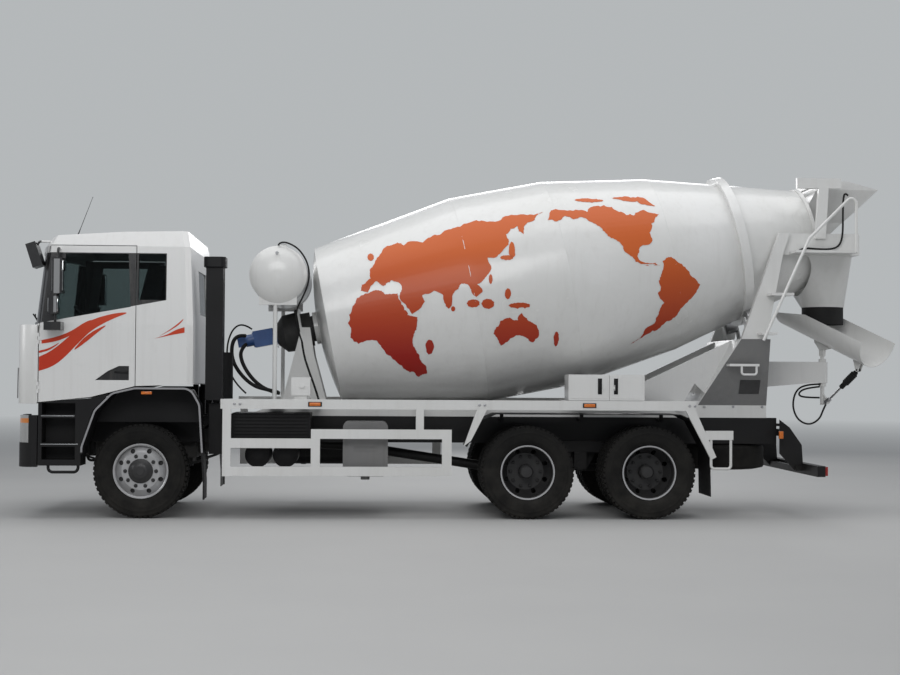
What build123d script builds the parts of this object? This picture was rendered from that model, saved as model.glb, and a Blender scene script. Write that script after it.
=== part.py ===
from build123d import *
from math import cos, radians, sin, tan
import os

os.makedirs("parts", exist_ok=True)

# Concrete mixer truck, 6x4, cab over engine. Millimetres, +X forward, +Y left, +Z up.
# The origin is on the ground, under the middle of the overall length and width.
# Places along the truck are named from the front axle, which stands at x = fa.

# Overall
front_overhang = 1360
rear_overhang = 8553.4
fa = (front_overhang + rear_overhang) / 2 - front_overhang
wheelbase = 4230
bogie_spread = 1350
rear_axle_x = (fa - wheelbase, fa - wheelbase - bogie_spread)
bogie_x = sum(rear_axle_x) / 2
running_gap = 0.05
seat_gap = 0.3

# Wheels
tyre_radius = 512
tyre_width = 292
tread_half = 126
bead_radius = 287
bead_half = 104
hub_z = tyre_radius
front_track_half = 1011
twin_centre = 915
twin_spacing = 350
rim_flange_radius = 300
rim_flange_half = 118
rim_wall = 10
disc_wall = 12
hand_holes = 8
hand_hole_radius = 26
hand_hole_circle = 232
spindle_radius = 35

# Chassis frame
rail_half = 430
rail_top = 1106
rail_height = 300
rail_flange = 80
rail_wall = 8
rail_front = fa + 1180
rail_rear = fa - 7210
rail_bottom = rail_top - rail_height
crossmembers = (
    # back face behind the front axle, z low, z high
    (-1060, 814, 930),
    (1420, 891, 1071),
    (2350, 891, 1071),
    (3280, 891, 1071),
    (4200, 891, 1071),
    (4965, 891, 1071),
    (5750, 891, 1071),
    (6500, 891, 1071),
    (7210, 891, 1071),
)
crossmember_depth = 120
tow_jaw_reach = 150
tow_jaw_z = 960
tow_pin_radius = 25
spring_half = 780
hanger_low = 674.3
trunnion_z = 560
rear_spring_y = 500
rear_seat_z = 622
rear_leaf_rise = 90

# Steering
king_pin_y = 845
king_pin_radius = 25
king_boss_radius = 45
king_boss_height = 120
fork_ear = 34
steer_arm_back = 230

# Cab
cab_half = 1245
cab_wall = 45
cab_rear = fa - 559
cab_rear_top = fa - 520
cab_bottom = 1245
cab_roof = 3141
door_rear = fa + 58
door_top = 2961
door_gap = 8
cab_pivot_x = fa + 1150
cab_pivot_z = 1000
cab_leg_y = 320

# Mixer subframe and deck rails
deck_y = 1245
deck_wall = 40
deck_top = 1305
deck_rail = 106
subframe_top = 1250
subframe_front = fa - 1300
subframe_rear = fa - 7090

# Drum, along its own tilted axis; stations are measured back from the edge of its head
drum_tilt = 11.0
drum_head_x = fa - 2010
drum_head_z = 2150
drum_wall = 8
drum_stations = ((0, 920), (1652, 1212), (2742, 1212), (3958, 1025), (5741, 564))
drum_dish = 130
ring_station = 4807
ring_width = 100
ring_radius = 888
roller_radius = 125
roller_width = 130
roller_angle = 33.0
roller_shaft = 30

# Water tank
tank_x = fa - 1460
tank_z = 2690
tank_radius = 320
tank_half = 1000
tank_dome = 120

# Chute and hoppers
post_x = fa - 7880
post_radius = 24
chute_swing_rest = 60.0
chute_slope = 21.5
chute_half = 280
chute_depth = 300
chute_wall = 6
chute_down = 790
chute_up = 650
chute_hinge_z = 1945
funnel_top_z = 2980
funnel_bottom_z = 2411
funnel_bottom_radius = 248
support_y = 745
support_wall = 80

# Planes used again and again
drum_axis = Vector(-cos(radians(drum_tilt)), 0, sin(radians(drum_tilt)))
drum_head = Vector(drum_head_x, 0, drum_head_z)
drum_plane = Plane(origin=drum_head, x_dir=drum_axis, z_dir=(0, 1, 0))


def side_plane(y):
    """Looking from the left: local x is X, local y is Z, and extruding goes to the right."""
    return Plane(origin=(0, y, 0), x_dir=(1, 0, 0), z_dir=(0, -1, 0))


def block(x, y, z, mode=Mode.ADD):
    """A box between two limits on each axis."""
    with Locations(((x[0] + x[1]) / 2, (y[0] + y[1]) / 2, (z[0] + z[1]) / 2)):
        Box(abs(x[1] - x[0]), abs(y[1] - y[0]), abs(z[1] - z[0]), mode=mode)


def rod(start, end, radius, mode=Mode.ADD):
    """A round bar between two points."""
    run = Vector(*end) - Vector(*start)
    with BuildSketch(Plane(origin=start, z_dir=run)) as face:
        Circle(radius)
    extrude(face.sketch, amount=run.length, mode=mode)


def bent_bar(points, bend, radius):
    """A round bar along straight runs joined by equal bends."""
    with BuildLine() as path:
        FilletPolyline(*points, radius=bend)
    with BuildSketch(Plane(origin=path.line @ 0, z_dir=path.line % 0)) as face:
        Circle(radius)
    sweep(face.sketch, path=path.line)


def plate(points, y_out, thickness, mode=Mode.ADD):
    """A flat plate cut to an outline in side view; its outer face is at y_out."""
    with BuildSketch(side_plane(y_out)) as face:
        Polygon(*points, align=None)
    extrude(face.sketch, amount=thickness, mode=mode)


def bar_profile(points, plane, wall):
    """A strip of even thickness along a line of points, as a closed outline on the plane."""
    with BuildSketch(plane) as face:
        with BuildLine():
            line = FilletPolyline(*points, radius=wall * 6)
            offset(line, amount=wall, side=Side.LEFT)
        make_face()
    return face.sketch


def on_drum(station, radius=0.0, angle=0.0):
    """A point near the drum: back along its axis, out from it, and round from its underside."""
    up = Vector(sin(radians(drum_tilt)), 0, cos(radians(drum_tilt)))
    side = Vector(0, 1, 0)
    out = up * -cos(radians(angle)) + side * sin(radians(angle))
    return drum_head + drum_axis * station + out * radius


def save(piece, name):
    """Give a finished piece its name and write it out."""
    piece.label = name
    export_step(piece, f"parts/{name}.step")


# Chassis frame: two channel rails and their crossmembers
with BuildPart() as chassis_frame:
    with BuildSketch(Plane.YZ.offset(rail_rear)):
        with Locations((rail_half - rail_flange / 2, rail_top - rail_height / 2)):
            Rectangle(rail_flange, rail_height)
        with Locations((rail_half - rail_wall - rail_flange / 2, rail_top - rail_height / 2)):
            Rectangle(rail_flange, rail_height - 2 * rail_wall, mode=Mode.SUBTRACT)
    extrude(amount=rail_front - rail_rear)
    mirror(about=Plane.XZ)
    for behind, z_low, z_high in crossmembers:
        x = fa - behind
        block((x, x + crossmember_depth), (-rail_half + rail_wall, rail_half - rail_wall), (z_low, z_high))
    for side in (1, -1):
        for reach in (spring_half - 20, -spring_half - 60):
            block((fa + reach, fa + reach + 80), (side * 352, side * (rail_half - 2)), (hanger_low,
                                                                                        rail_bottom + 20))
        rod((bogie_x, side * 330, trunnion_z), (bogie_x, side * 560, trunnion_z), 55)
        with BuildSketch(side_plane(side * (rail_half - 40) + 30)) as cheek:
            Polygon((bogie_x - 260, rail_bottom + 4), (bogie_x + 260, rail_bottom + 4),
                    (bogie_x + 80, trunnion_z - 70), (bogie_x - 80, trunnion_z - 70), align=None)
        extrude(cheek.sketch, amount=60)
        block((bogie_x - 70, bogie_x + 70), (side * (rear_spring_y - 48), side * (rear_spring_y + 48)),
              (trunnion_z - 40, rear_seat_z + rear_leaf_rise - 1.2))
        block((rail_front - 200, rail_front), (side * (cab_leg_y + 40), side * (rail_half - rail_wall)),
              (rail_bottom + 90, cab_pivot_z + 45))
        with Locations(Location((cab_pivot_x, side * 396, cab_pivot_z), (90, 0, 0))):
            Cylinder(22 + running_gap, 80, mode=Mode.SUBTRACT)
        block((fa - 540, fa - 480), (side * 350, side * 410), (rail_top - 10, 1457.3))
save(chassis_frame.part, "chassis_frame")

# Tow jaw: two lips behind the last crossmember, bored for a pin
with BuildPart() as tow_jaw:
    block((rail_rear - tow_jaw_reach, rail_rear), (-70, 70), (tow_jaw_z - 70, tow_jaw_z + 70))
    block((rail_rear - tow_jaw_reach, rail_rear - 30), (-70, 70), (tow_jaw_z - 40, tow_jaw_z + 40),
          mode=Mode.SUBTRACT)
    with Locations((rail_rear - tow_jaw_reach / 2 - 20, 0, tow_jaw_z)):
        Cylinder(tow_pin_radius, 200, mode=Mode.SUBTRACT)
save(tow_jaw.part, "tow_jaw")

# Engine: one plain block with its sump and radiator, and the gearbox behind it
with BuildPart() as engine:
    block((fa - 520, fa + 620), (-300, 300), (620, 1150))
    block((fa - 460, fa + 200), (-180, 180), (560, 620))
    block((fa + 700, fa + 800), (-310, 310), (640, 1190))
    block((fa + 620, fa + 700), (-120, 120), (800, 900))
    with BuildSketch(Plane.YZ.offset(fa - 520)):
        with Locations((0, 880)):
            Circle(230)
    with BuildSketch(Plane.YZ.offset(fa - 820)):
        with Locations((0, 860)):
            Circle(150)
    loft()
    block((fa - 1250, fa - 820), (-150, 150), (720, 1010))
    for x in (fa - 420, fa + 420):
        block((x - 50, x + 50), (-(rail_half - rail_wall) + seat_gap, rail_half - rail_wall - seat_gap),
              (900, 960))
save(engine.part, "engine")

# Front axle: a forged drop beam with an eye at each end for the king pin
beam_half = 42
beam_drop_z = 400
spring_pad_y = 390
spring_pad_top = beam_drop_z + 60
with BuildPart() as front_axle:
    with BuildSketch(Plane.YZ.offset(fa - beam_half)):
        Polygon((-king_pin_y, hub_z - 45), (-king_pin_y + 65, hub_z - 45), (-620, beam_drop_z - 40),
                (620, beam_drop_z - 40), (king_pin_y - 65, hub_z - 45), (king_pin_y, hub_z - 45),
                (king_pin_y, hub_z + 45), (640, hub_z + 20),
                (540, spring_pad_top), (-540, spring_pad_top), (-640, hub_z + 20),
                (-king_pin_y, hub_z + 45), align=None)
    extrude(amount=2 * beam_half)
    for face_x, out in ((fa + beam_half, -1), (fa - beam_half, 1)):
        with BuildSketch(Plane.YZ.offset(face_x)):
            Polygon((-760, hub_z - 20), (-600, beam_drop_z - 12), (600, beam_drop_z - 12),
                    (760, hub_z - 20), (640, hub_z - 15), (530, spring_pad_top - 28),
                    (-530, spring_pad_top - 28), (-640, hub_z - 15), align=None)
        extrude(amount=out * 26, mode=Mode.SUBTRACT)
    for side in (1, -1):
        with Locations((fa, side * king_pin_y, hub_z)):
            Cylinder(king_boss_radius, king_boss_height)
            Cylinder(king_pin_radius + running_gap, king_boss_height + 2, mode=Mode.SUBTRACT)
save(front_axle.part, "front_axle")

# Knuckles: a fork round the axle's eye, its king pin, the stub axle and the steering arm
fork_face = king_pin_y + king_boss_radius + 6
for name, side in (("knuckle_left", 1), ("knuckle_right", -1)):
    with BuildPart() as knuckle:
        ear_z = king_boss_height / 2 + seat_gap
        for z in (hub_z + ear_z, hub_z - ear_z - fork_ear):
            with Locations((fa, side * king_pin_y, z + fork_ear / 2)):
                Cylinder(king_boss_radius + 3, fork_ear)
            block((fa - 48, fa + 48), (side * king_pin_y, side * (fork_face + 18)), (z, z + fork_ear))
        block((fa - 60, fa + 60), (side * fork_face, side * (fork_face + 18)),
              (hub_z - ear_z - fork_ear, hub_z + ear_z + fork_ear))
        rod((fa, side * king_pin_y, hub_z - ear_z - 10), (fa, side * king_pin_y, hub_z + ear_z + 10),
            king_pin_radius)
        rod((fa, side * fork_face, hub_z), (fa, side * (front_track_half + 88), hub_z), spindle_radius)
        arm_z = hub_z - ear_z - fork_ear
        block((fa - steer_arm_back, fa - 40), (side * (king_pin_y - 22), side * (king_pin_y + 22)),
              (arm_z, arm_z + fork_ear - 8))
        with Locations((fa - steer_arm_back, side * king_pin_y, arm_z + (fork_ear - 8) / 2)):
            Cylinder(32, fork_ear - 8)
        rod((fa - steer_arm_back, side * king_pin_y, arm_z - 34),
            (fa - steer_arm_back, side * king_pin_y, arm_z + 5), 12)
    save(knuckle.part, name)

# Tie rod: one bar with an eye at each end, hung under the steering arms
tie_z = hub_z - king_boss_height / 2 - seat_gap - fork_ear - 18
with BuildPart() as tie_rod:
    rod((fa - steer_arm_back, -king_pin_y, tie_z), (fa - steer_arm_back, king_pin_y, tie_z), 16)
    for side in (1, -1):
        with Locations((fa - steer_arm_back, side * king_pin_y, tie_z)):
            Cylinder(28, 34)
    for side in (1, -1):
        with Locations((fa - steer_arm_back, side * king_pin_y, tie_z)):
            Cylinder(12 + running_gap, 60, mode=Mode.SUBTRACT)
save(tie_rod.part, "tie_rod")


def tyre_outline():
    """Half of a tyre's section by (across, out from the axle), mirrored to the other half."""
    bead = bead_half - seat_gap
    right = [(bead, bead_radius + seat_gap), (bead, rim_flange_radius + 4), (tyre_width / 2 - 6, 350),
             (tyre_width / 2, 410), (tread_half, tyre_radius - 10), (tread_half - 18, tyre_radius)]
    return right + [(-a, r) for a, r in reversed(right)]


def wheel_plane(x, y, side):
    """Local x points outboard from the wheel's middle, local y points up."""
    return Plane(origin=(x, side * y, hub_z), x_dir=(0, side, 0), z_dir=(side, 0, 0))


def add_tyre(x, y, side):
    """One tyre, revolved about its axle."""
    with BuildSketch(wheel_plane(x, y, side)) as face:
        Polygon(*tyre_outline(), align=None)
    revolve(face.sketch, axis=Axis((x, 0, hub_z), (0, 1, 0)))


def add_rim(x, y, side, dish, reach, hole_count):
    """One steel rim: its barrel with two flanges, and its disc, dished to the given offset."""
    f, h, w = rim_flange_radius, rim_flange_half, rim_wall
    barrel = [(-h, f), (-bead_half, f), (-bead_half, bead_radius), (bead_half, bead_radius),
              (bead_half, f), (h, f), (h, f - w), (bead_half + w / 2, bead_radius - w),
              (-bead_half - w / 2, bead_radius - w), (-h, f - w)]
    step = 1 if dish > 0 else -1
    root = dish - step * reach
    disc = [(root, bead_radius - 5), (dish, 205), (dish, 80), (dish - disc_wall, 80),
            (dish - disc_wall, 200), (root - disc_wall, bead_radius - 5)]
    with BuildSketch(wheel_plane(x, y, side)) as face:
        Polygon(*barrel, align=None)
        Polygon(*disc, align=None)
    revolve(face.sketch, axis=Axis((x, 0, hub_z), (0, 1, 0)))
    if hole_count:
        middle = side * (y + dish - step * 30)
        with Locations(Location((x, middle, hub_z), (90, 0, 0))):
            with PolarLocations(hand_hole_circle, hole_count, start_angle=360 / hole_count / 2):
                Cylinder(hand_hole_radius, 110, mode=Mode.SUBTRACT)


def add_turned(x, y, side, outline):
    """A turned piece on the wheel's axle, by (across, out) points."""
    with BuildSketch(wheel_plane(x, y, side)) as face:
        Polygon(*outline, align=None)
    revolve(face.sketch, axis=Axis((x, 0, hub_z), (0, 1, 0)))


# Front wheels: tyre, and rim with its disc bulged outwards on the hub and brake drum
front_dish = 112
for name, side in (("left", 1), ("right", -1)):
    with BuildPart() as tyre:
        add_tyre(fa, front_track_half, side)
    save(tyre.part, f"front_tyre_{name}")
    with BuildPart() as rim:
        add_rim(fa, front_track_half, side, front_dish, 55, hand_holes)
        bore = spindle_radius + running_gap
        add_turned(fa, front_track_half, side,
                   [(-90, bore), (-90, 60), (-60, 60), (-60, 185), (-90, 185), (-90, 205), (-20, 205),
                    (-20, 95), (front_dish - 30, 90), (front_dish - 30, 190), (front_dish - 6, 190),
                    (front_dish - 6, 85), (front_dish + 28, 78), (front_dish + 40, 55),
                    (front_dish + 40, 0), (92, 0), (92, bore)])
    save(rim.part, f"front_rim_{name}")

# Rear wheels: twins on one hub, their discs bolted face to face between them
twin_dish = 163
twin_reach = 103
hub_bore = 48
hub_outline = [(-330, hub_bore + running_gap), (-330, 205), (-60, 205), (-60, 190), (-disc_wall, 190),
               (-disc_wall, 82), (150, 78), (165, 60), (165, 0), (-205, 0), (-205, hub_bore + running_gap)]
for number, x in ((1, rear_axle_x[0]), (2, rear_axle_x[1])):
    for name, side in (("left", 1), ("right", -1)):
        outer_y = twin_centre + twin_spacing / 2
        inner_y = twin_centre - twin_spacing / 2
        with BuildPart() as tyres:
            add_tyre(x, outer_y, side)
            add_tyre(x, inner_y, side)
        save(tyres.part, f"rear_tyres_{number}_{name}")
        with BuildPart() as rims:
            add_rim(x, outer_y, side, -twin_dish, twin_reach, hand_holes)
            add_rim(x, inner_y, side, twin_dish + disc_wall, twin_reach, 0)
            add_turned(x, twin_centre, side, hub_outline)
        save(rims.part, f"rear_rims_{number}_{name}")


# Leaf springs: arched packs over the front axle, and reversed packs on the bogie's saddle
def leaf_pack(x, y, half_length, rise, leaves, leaf, width, low_z, seat_at_ends):
    """Nested leaves as arcs in side view, each one shorter than the last, in one pack."""
    for i in range(leaves):
        length = half_length * (1 - 0.75 * i / leaves)
        sag = rise * (length / half_length) ** 2
        step = i * leaf
        if seat_at_ends:
            middle_z = low_z + rise + step
            end_z = middle_z - sag
        else:
            middle_z = low_z - step
            end_z = middle_z + sag
        with BuildSketch(side_plane(y + width / 2)) as face:
            with BuildLine():
                low_arc = ThreePointArc((x - length, end_z), (x, middle_z), (x + length, end_z))
                top_arc = ThreePointArc((x - length, end_z + leaf), (x, middle_z + leaf),
                                        (x + length, end_z + leaf))
                Line(low_arc @ 0, top_arc @ 0)
                Line(low_arc @ 1, top_arc @ 1)
            make_face()
        extrude(face.sketch, amount=width)


front_leaf_rise = 150
front_leaves = 4
front_leaf = 16
rear_leaf_half = 690
rear_leaves = 7
rear_leaf = 18
front_spring_low = spring_pad_top + (front_leaves - 1) * front_leaf
with BuildPart() as leaf_springs:
    for side in (1, -1):
        leaf_pack(fa, side * spring_pad_y, spring_half, front_leaf_rise, front_leaves, front_leaf,
                  80, front_spring_low, False)
        block((fa - 55, fa + 55), (side * spring_pad_y - 55, side * spring_pad_y + 55),
              (front_spring_low, front_spring_low + front_leaf + 24))
        leaf_pack(bogie_x, side * rear_spring_y, rear_leaf_half, rear_leaf_rise, rear_leaves,
                  rear_leaf, 90, rear_seat_z, True)
save(leaf_springs.part, "leaf_springs")

# Rear axles: a banjo housing, its tubes out to the wheels, and the nose to the propshaft
axle_tube_end = 560
nose_reach = 330
with BuildPart() as rear_axles:
    for x in rear_axle_x:
        rod((x, -axle_tube_end, hub_z), (x, axle_tube_end, hub_z), 62)
        with BuildSketch(Plane(origin=(x - 90, 0, hub_z), z_dir=(1, 0, 0))) as ring:
            Circle(205)
        extrude(ring.sketch, amount=180, taper=12)
        with BuildSketch(Plane(origin=(x + 60, 60, hub_z), z_dir=(1, 0, 0))) as nose:
            Circle(120)
        extrude(nose.sketch, amount=nose_reach - 60, taper=10)
        for side in (1, -1):
            block((x - 70, x + 70), (side * (rear_spring_y - 55), side * (rear_spring_y + 50)),
                  (hub_z, rear_seat_z - seat_gap))
            rod((x, side * axle_tube_end, hub_z), (x, side * (twin_centre - 215), hub_z), hub_bore)
save(rear_axles.part, "rear_axles")

# Propshafts from the gearbox to the first rear axle, and on to the second
with BuildPart() as propshafts:
    rod((fa - 1254, 0, 800), (fa - 2300, 0, 750), 55)
    rod((fa - 2300, 0, 750), (rear_axle_x[0] + nose_reach + 13, 60, hub_z), 55)
    block((fa - 2340, fa - 2260), (-60, 60), (760, rail_bottom + 84.7))
    rod((rear_axle_x[0] - 90.3, 60, hub_z), (rear_axle_x[1] + nose_reach + 0.3, 60, hub_z), 45)
save(propshafts.part, "propshafts")


def curved_front(reach, half, corner, wall, z_low, z_high, back):
    """A panel bowed in plan, with rounded corners and sides running back, of even thickness."""
    bow = 45
    with BuildSketch(Plane.XY.offset(z_low)) as face:
        with BuildLine():
            front = ThreePointArc((reach - bow, half - corner), (reach, 0), (reach - bow, corner - half))
            for side in (1, -1):
                tip = (reach - bow, side * (half - corner))
                turn = (reach - bow - corner * 1.1, side * half)
                bend = (reach - bow - corner * 0.28, side * (half - corner * 0.25))
                ThreePointArc(tip, bend, turn)
                Line(turn, (back, side * half))
            Line((back, half), (back, -half))
        make_face()
        with BuildLine():
            reach_in, half_in, corner_in = reach - wall, half - wall, corner - wall / 2
            ThreePointArc((reach_in - bow, half_in - corner_in), (reach_in, 0),
                          (reach_in - bow, corner_in - half_in))
            for side in (1, -1):
                tip = (reach_in - bow, side * (half_in - corner_in))
                turn = (reach_in - bow - corner_in * 1.1, side * half_in)
                bend = (reach_in - bow - corner_in * 0.28, side * (half_in - corner_in * 0.25))
                ThreePointArc(tip, bend, turn)
                Line(turn, (back - 10, side * half_in))
            Line((back - 10, half_in), (back - 10, -half_in))
        make_face(mode=Mode.SUBTRACT)
    extrude(face.sketch, amount=z_high - z_low)


# Bumper: a bowed channel with a grille opening, slats and recesses for the lamps
bumper_low = 560
bumper_top = 1119
bumper_wall = 60
bumper_back = fa + 1100
lamp_y = (860, 1235)
lamp_z = (822, 1119)
grille_half = 640
grille_low = 900
with BuildPart() as front_bumper:
    curved_front(fa + front_overhang, 1232, 170, bumper_wall, bumper_low, bumper_top, bumper_back)
    block((fa + 1000, fa + 1400), (-grille_half, grille_half), (grille_low, bumper_top + 1),
          mode=Mode.SUBTRACT)
    for side in (1, -1):
        block((fa + 1190, fa + 1400), (side * lamp_y[0], side * (lamp_y[1] + 10)), (lamp_z[0], lamp_z[1] + 1),
              mode=Mode.SUBTRACT)
        block((rail_front, fa + 1310), (side * (rail_half - 60), side * (rail_half - 8)),
              (rail_bottom + 40, grille_low - 20))
        block((fa + 1000, fa + 1400), (side * 700, side * 820), (640, 730), mode=Mode.SUBTRACT)
    block((fa + 1000, fa + 1400), (-420, 420), (640, 730), mode=Mode.SUBTRACT)
    for z in (665, 693):
        block((fa + 1270, fa + 1305), (-430, 430), (z, z + 14))
save(front_bumper.part, "front_bumper")

# Lamps: headlamp units that follow the bumper's corners, and tail lamps on the underrun bar
with BuildPart() as lamps:
    curved_front(fa + front_overhang - 4, 1228, 168, bumper_wall - 8, lamp_z[0] + 1, lamp_z[1] - 2,
                 bumper_back + 50)
    block((fa + 1000, fa + 1400), (-lamp_y[0] - seat_gap, lamp_y[0] + seat_gap), (800, 1130),
          mode=Mode.SUBTRACT)
    block((fa + 1000, fa + 1190 + seat_gap), (-1300, 1300), (800, 1130), mode=Mode.SUBTRACT)
    for side in (1, -1):
        block((fa - 7600, fa - 7560 - seat_gap), (side * 780, side * 1150), (480, 580))
save(lamps.part, "lamps")

# Cab steps: a moulded box each side with two treads in pockets and a stirrup below
step_front = fa + 1090
step_back = fa + 632.3
step_top = 1250
step_in = 900
step_out = 1232
with BuildPart() as cab_steps:
    for side in (1, -1):
        with BuildSketch(side_plane(side * (step_in + step_out) / 2 + (step_out - step_in) / 2)) as box:
            Polygon((step_back, 575), (step_front, 575), (step_front, step_top), (step_back, step_top + 47),
                    align=None)
        extrude(box.sketch, amount=step_out - step_in)
        plate([(step_back + 8, 640), (step_back + 4, 786), (fa + 504, 1180), (fa + 345, 1340), (fa + 345,
                                                                                                1355),
               (fa + 535, 1306), (step_back + 8, 1290)], side * (step_out - 13) + 13, 26)
        for z_low, z_high in ((640, 780), (820, 1090), (1130, step_top + 1)):
            block((step_back + 60, step_front - 40), (side * 1010, side * (step_out + 1)), (z_low, z_high),
                  mode=Mode.SUBTRACT)
        block((fa + 860, fa + 980), (side * (rail_half + 1), side * step_in), (880, 1000))
        y = side * (step_out - 30)
        bent_bar([(fa + 982, y, 600), (fa + 982, y, 504), (fa + 661, y, 504), (fa + 661, y, 600)], 50, 16)
save(cab_steps.part, "cab_steps")

# Mudguards: an arch with a lip and a flap over each steered wheel, and one long arch
# over each side's twins with a flap behind
guard_wall = 8
front_arch = [(fa - 684, 210), (fa - 684, 411), (fa - 628, 1237), (fa - 533, 1405), (fa + 60, 1405),
              (fa + 296, 1350), (fa + 476, 1166), (fa + 612, 776), (fa + 612, 700)]
rear_arch = [(fa - 6262, 250), (fa - 6250, 780), (fa - 6090, 1075), (fa - 5930, 1150),
             (fa - 3880, 1150), (fa - 3710, 1075), (fa - 3560, 790)]
with BuildPart() as mudguards:
    for side in (1, -1):
        strip = bar_profile(front_arch, side_plane(side * 1050 + 190), guard_wall)
        extrude(strip, amount=380)
        lip = bar_profile(front_arch, side_plane(side * 1225 + 15), guard_wall * 2.5)
        extrude(lip, amount=30)
        liner = [(fa - 644, 1040), (fa - 631, 1238), (fa - 536, 1408), (fa + 60, 1409), (fa + 298, 1353.5),
                 (fa + 479, 1169), (fa + 524, 1040)]
        plate(liner, side * 866 + 6, 12)
        rod((fa - 640, side * (rail_half + seat_gap), 980), (fa - 640, side * 900, 980), 22)
        strip = bar_profile(rear_arch, side_plane(side * 902 + 302), guard_wall)
        extrude(strip, amount=604)
        for behind in (3990, 4905, 5820):
            x = fa - behind
            block((x - 20, x + 20), (side * (rail_half + seat_gap), side * 640), (1060, 1090))
            block((x - 20, x + 20), (side * 605, side * 640), (1060, 1154))
save(mudguards.part, "mudguards")

# Deck rails and side guards: white square tube hung from outriggers, and a step behind
outrigger_behind = (1010, 1900, 3038, 3760, 4905, 6030)
guard_bars = (
    # x front, x back, z low, z high, all behind the front axle
    (868, 6090, deck_top - deck_rail, deck_top),
    (891, 983, 466, deck_top - deck_rail),
    (983, 1851, 773, 878),
    (983, 3391, 470, 572),
    (1851, 3388, 876, 980),
    (1851, 1950, 572, 876),
    (3283, 3388, 572, 876),
    (2995, 3082, 980, deck_top - deck_rail),
)
with BuildPart() as side_guards:
    for side in (1, -1):
        for near, far, low, high in guard_bars:
            block((fa - far, fa - near), (side * (deck_y - deck_wall), side * deck_y), (low, high))
        for outline in ([(fa - 3664, 1200), (fa - 3774, 1200), (fa - 3600, 860), (fa - 3520, 800)],
                        [(fa - 5979, 1200), (fa - 6090, 1200), (fa - 6320, 690), (fa - 6262, 660)]):
            plate(outline, side * (deck_y - deck_wall / 2) + deck_wall / 2, deck_wall)
        for behind in outrigger_behind:
            block((fa - behind - 30, fa - behind + 30), (side * (rail_half + 0.3),
                                                         side * (deck_y - deck_wall)),
                  (1215, 1275))
    block((fa - 6510, fa - 6200), (1206, 1240), (880, 980))
    bent_bar([(fa - 6265, 1223, 885), (fa - 6265, 1223, 560), (fa - 6485, 1223, 560), (fa - 6485, 1223, 885)],
             40, 15)
save(side_guards.part, "side_guards")

# Battery box with a ribbed cover, and the air tanks strapped under it
air_tank_radius = 140
with BuildPart() as battery_box:
    block((fa - 1837, fa - 982), (rail_half + 20, 1085), (860, 1150))
    for i in range(7):
        block((fa - 1815, fa - 1004), (1084, 1100), (880 + i * 38, 900 + i * 38))
    block((fa - 1500, fa - 1400), (rail_half + seat_gap, rail_half + 30), (880, 1080))
    for behind in (1259, 1564):
        with BuildSketch(Plane(origin=(fa - behind, 0, 690), x_dir=(0, 1, 0), z_dir=(1, 0, 0))) as half:
            with BuildLine():
                Polyline((1060, 15), (1060, 0), (520, 0), (520, air_tank_radius - 20),
                         (550, air_tank_radius), (1010, air_tank_radius))
                ThreePointArc((1010, air_tank_radius), (1044, air_tank_radius * 0.6), (1060, 15))
            make_face()
        revolve(half.sketch, axis=Axis((fa - behind, 0, 690), (0, 1, 0)))
        block((fa - behind - 20, fa - behind + 20), (560, 590), (810, 870))
        block((fa - behind - 20, fa - behind + 20), (960, 990), (810, 870))
save(battery_box.part, "battery_box")

# Silencer: a flat box with rounded corners, its face panel and its brackets
with BuildPart() as silencer:
    with BuildSketch(side_plane(1090)) as face:
        with Locations((fa - 2445, 757)):
            RectangleRounded(495, 600, 60)
    extrude(face.sketch, amount=520)
    with BuildSketch(side_plane(1100)) as panel:
        with Locations((fa - 2445, 757)):
            RectangleRounded(400, 500, 40)
            Rectangle(250, 60, mode=Mode.SUBTRACT)
    extrude(panel.sketch, amount=10)
    for behind in (2300, 2590):
        block((fa - behind - 25, fa - behind + 25), (rail_half + 0.3, 575), (850, 1000))
    rod((fa - 2445, 700, 500), (fa - 2445, 700, 400), 50)
save(silencer.part, "silencer")

# Fuel tank on the right, with its straps, filler and brackets
with BuildPart() as fuel_tank:
    with BuildSketch(Plane.YZ.offset(fa - 2650)) as tank:
        with Locations((-860, 800)):
            RectangleRounded(600, 600, 110)
    extrude(tank.sketch, amount=1180)
    for behind in (1700, 2400):
        with BuildSketch(Plane.YZ.offset(fa - behind - 30)) as strap:
            with Locations((-860, 800)):
                RectangleRounded(612, 612, 114)
        extrude(strap.sketch, amount=60)
        block((fa - behind - 30, fa - behind + 30), (-rail_half - 0.3, -560), (830, 1000))
    with Locations((fa - 1560, -860, 1110)):
        Cylinder(50, 60)
save(fuel_tank.part, "fuel_tank")

# Air intake: the filter drum behind the cab and the tall duct over it
with BuildPart() as air_intake:
    with Locations((fa - 800, 640, 1560)):
        Cylinder(150, 520)
    block((fa - 862, fa - 676), (760, 1010), (1288, 2760))
    block((fa - 880, fa - 712), (rail_half + seat_gap, 900), (690, 1252))
    with BuildSketch(Plane.XY.offset(2760)) as top:
        with Locations((fa - 769, 885)):
            RectangleRounded(240, 320, 60)
    extrude(top.sketch, amount=110)
    block((fa - 820, fa - 760), (rail_half - 40, 860), (1250, 1310))
    block((fa - 820, fa - 760), (rail_half - 40, rail_half - 10), (rail_top + 0.3, 1250))
    block((fa - 700, fa - 650), (-500, 500), (1400, 1460))
    for side in (1, -1):
        block((fa - 700, fa - 650), (side * 380, side * 440), (rail_top + 0.3, 1400))
    block((fa - 780, fa - 690), (430, 500), (1400, 1460))
save(air_intake.part, "air_intake")

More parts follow.
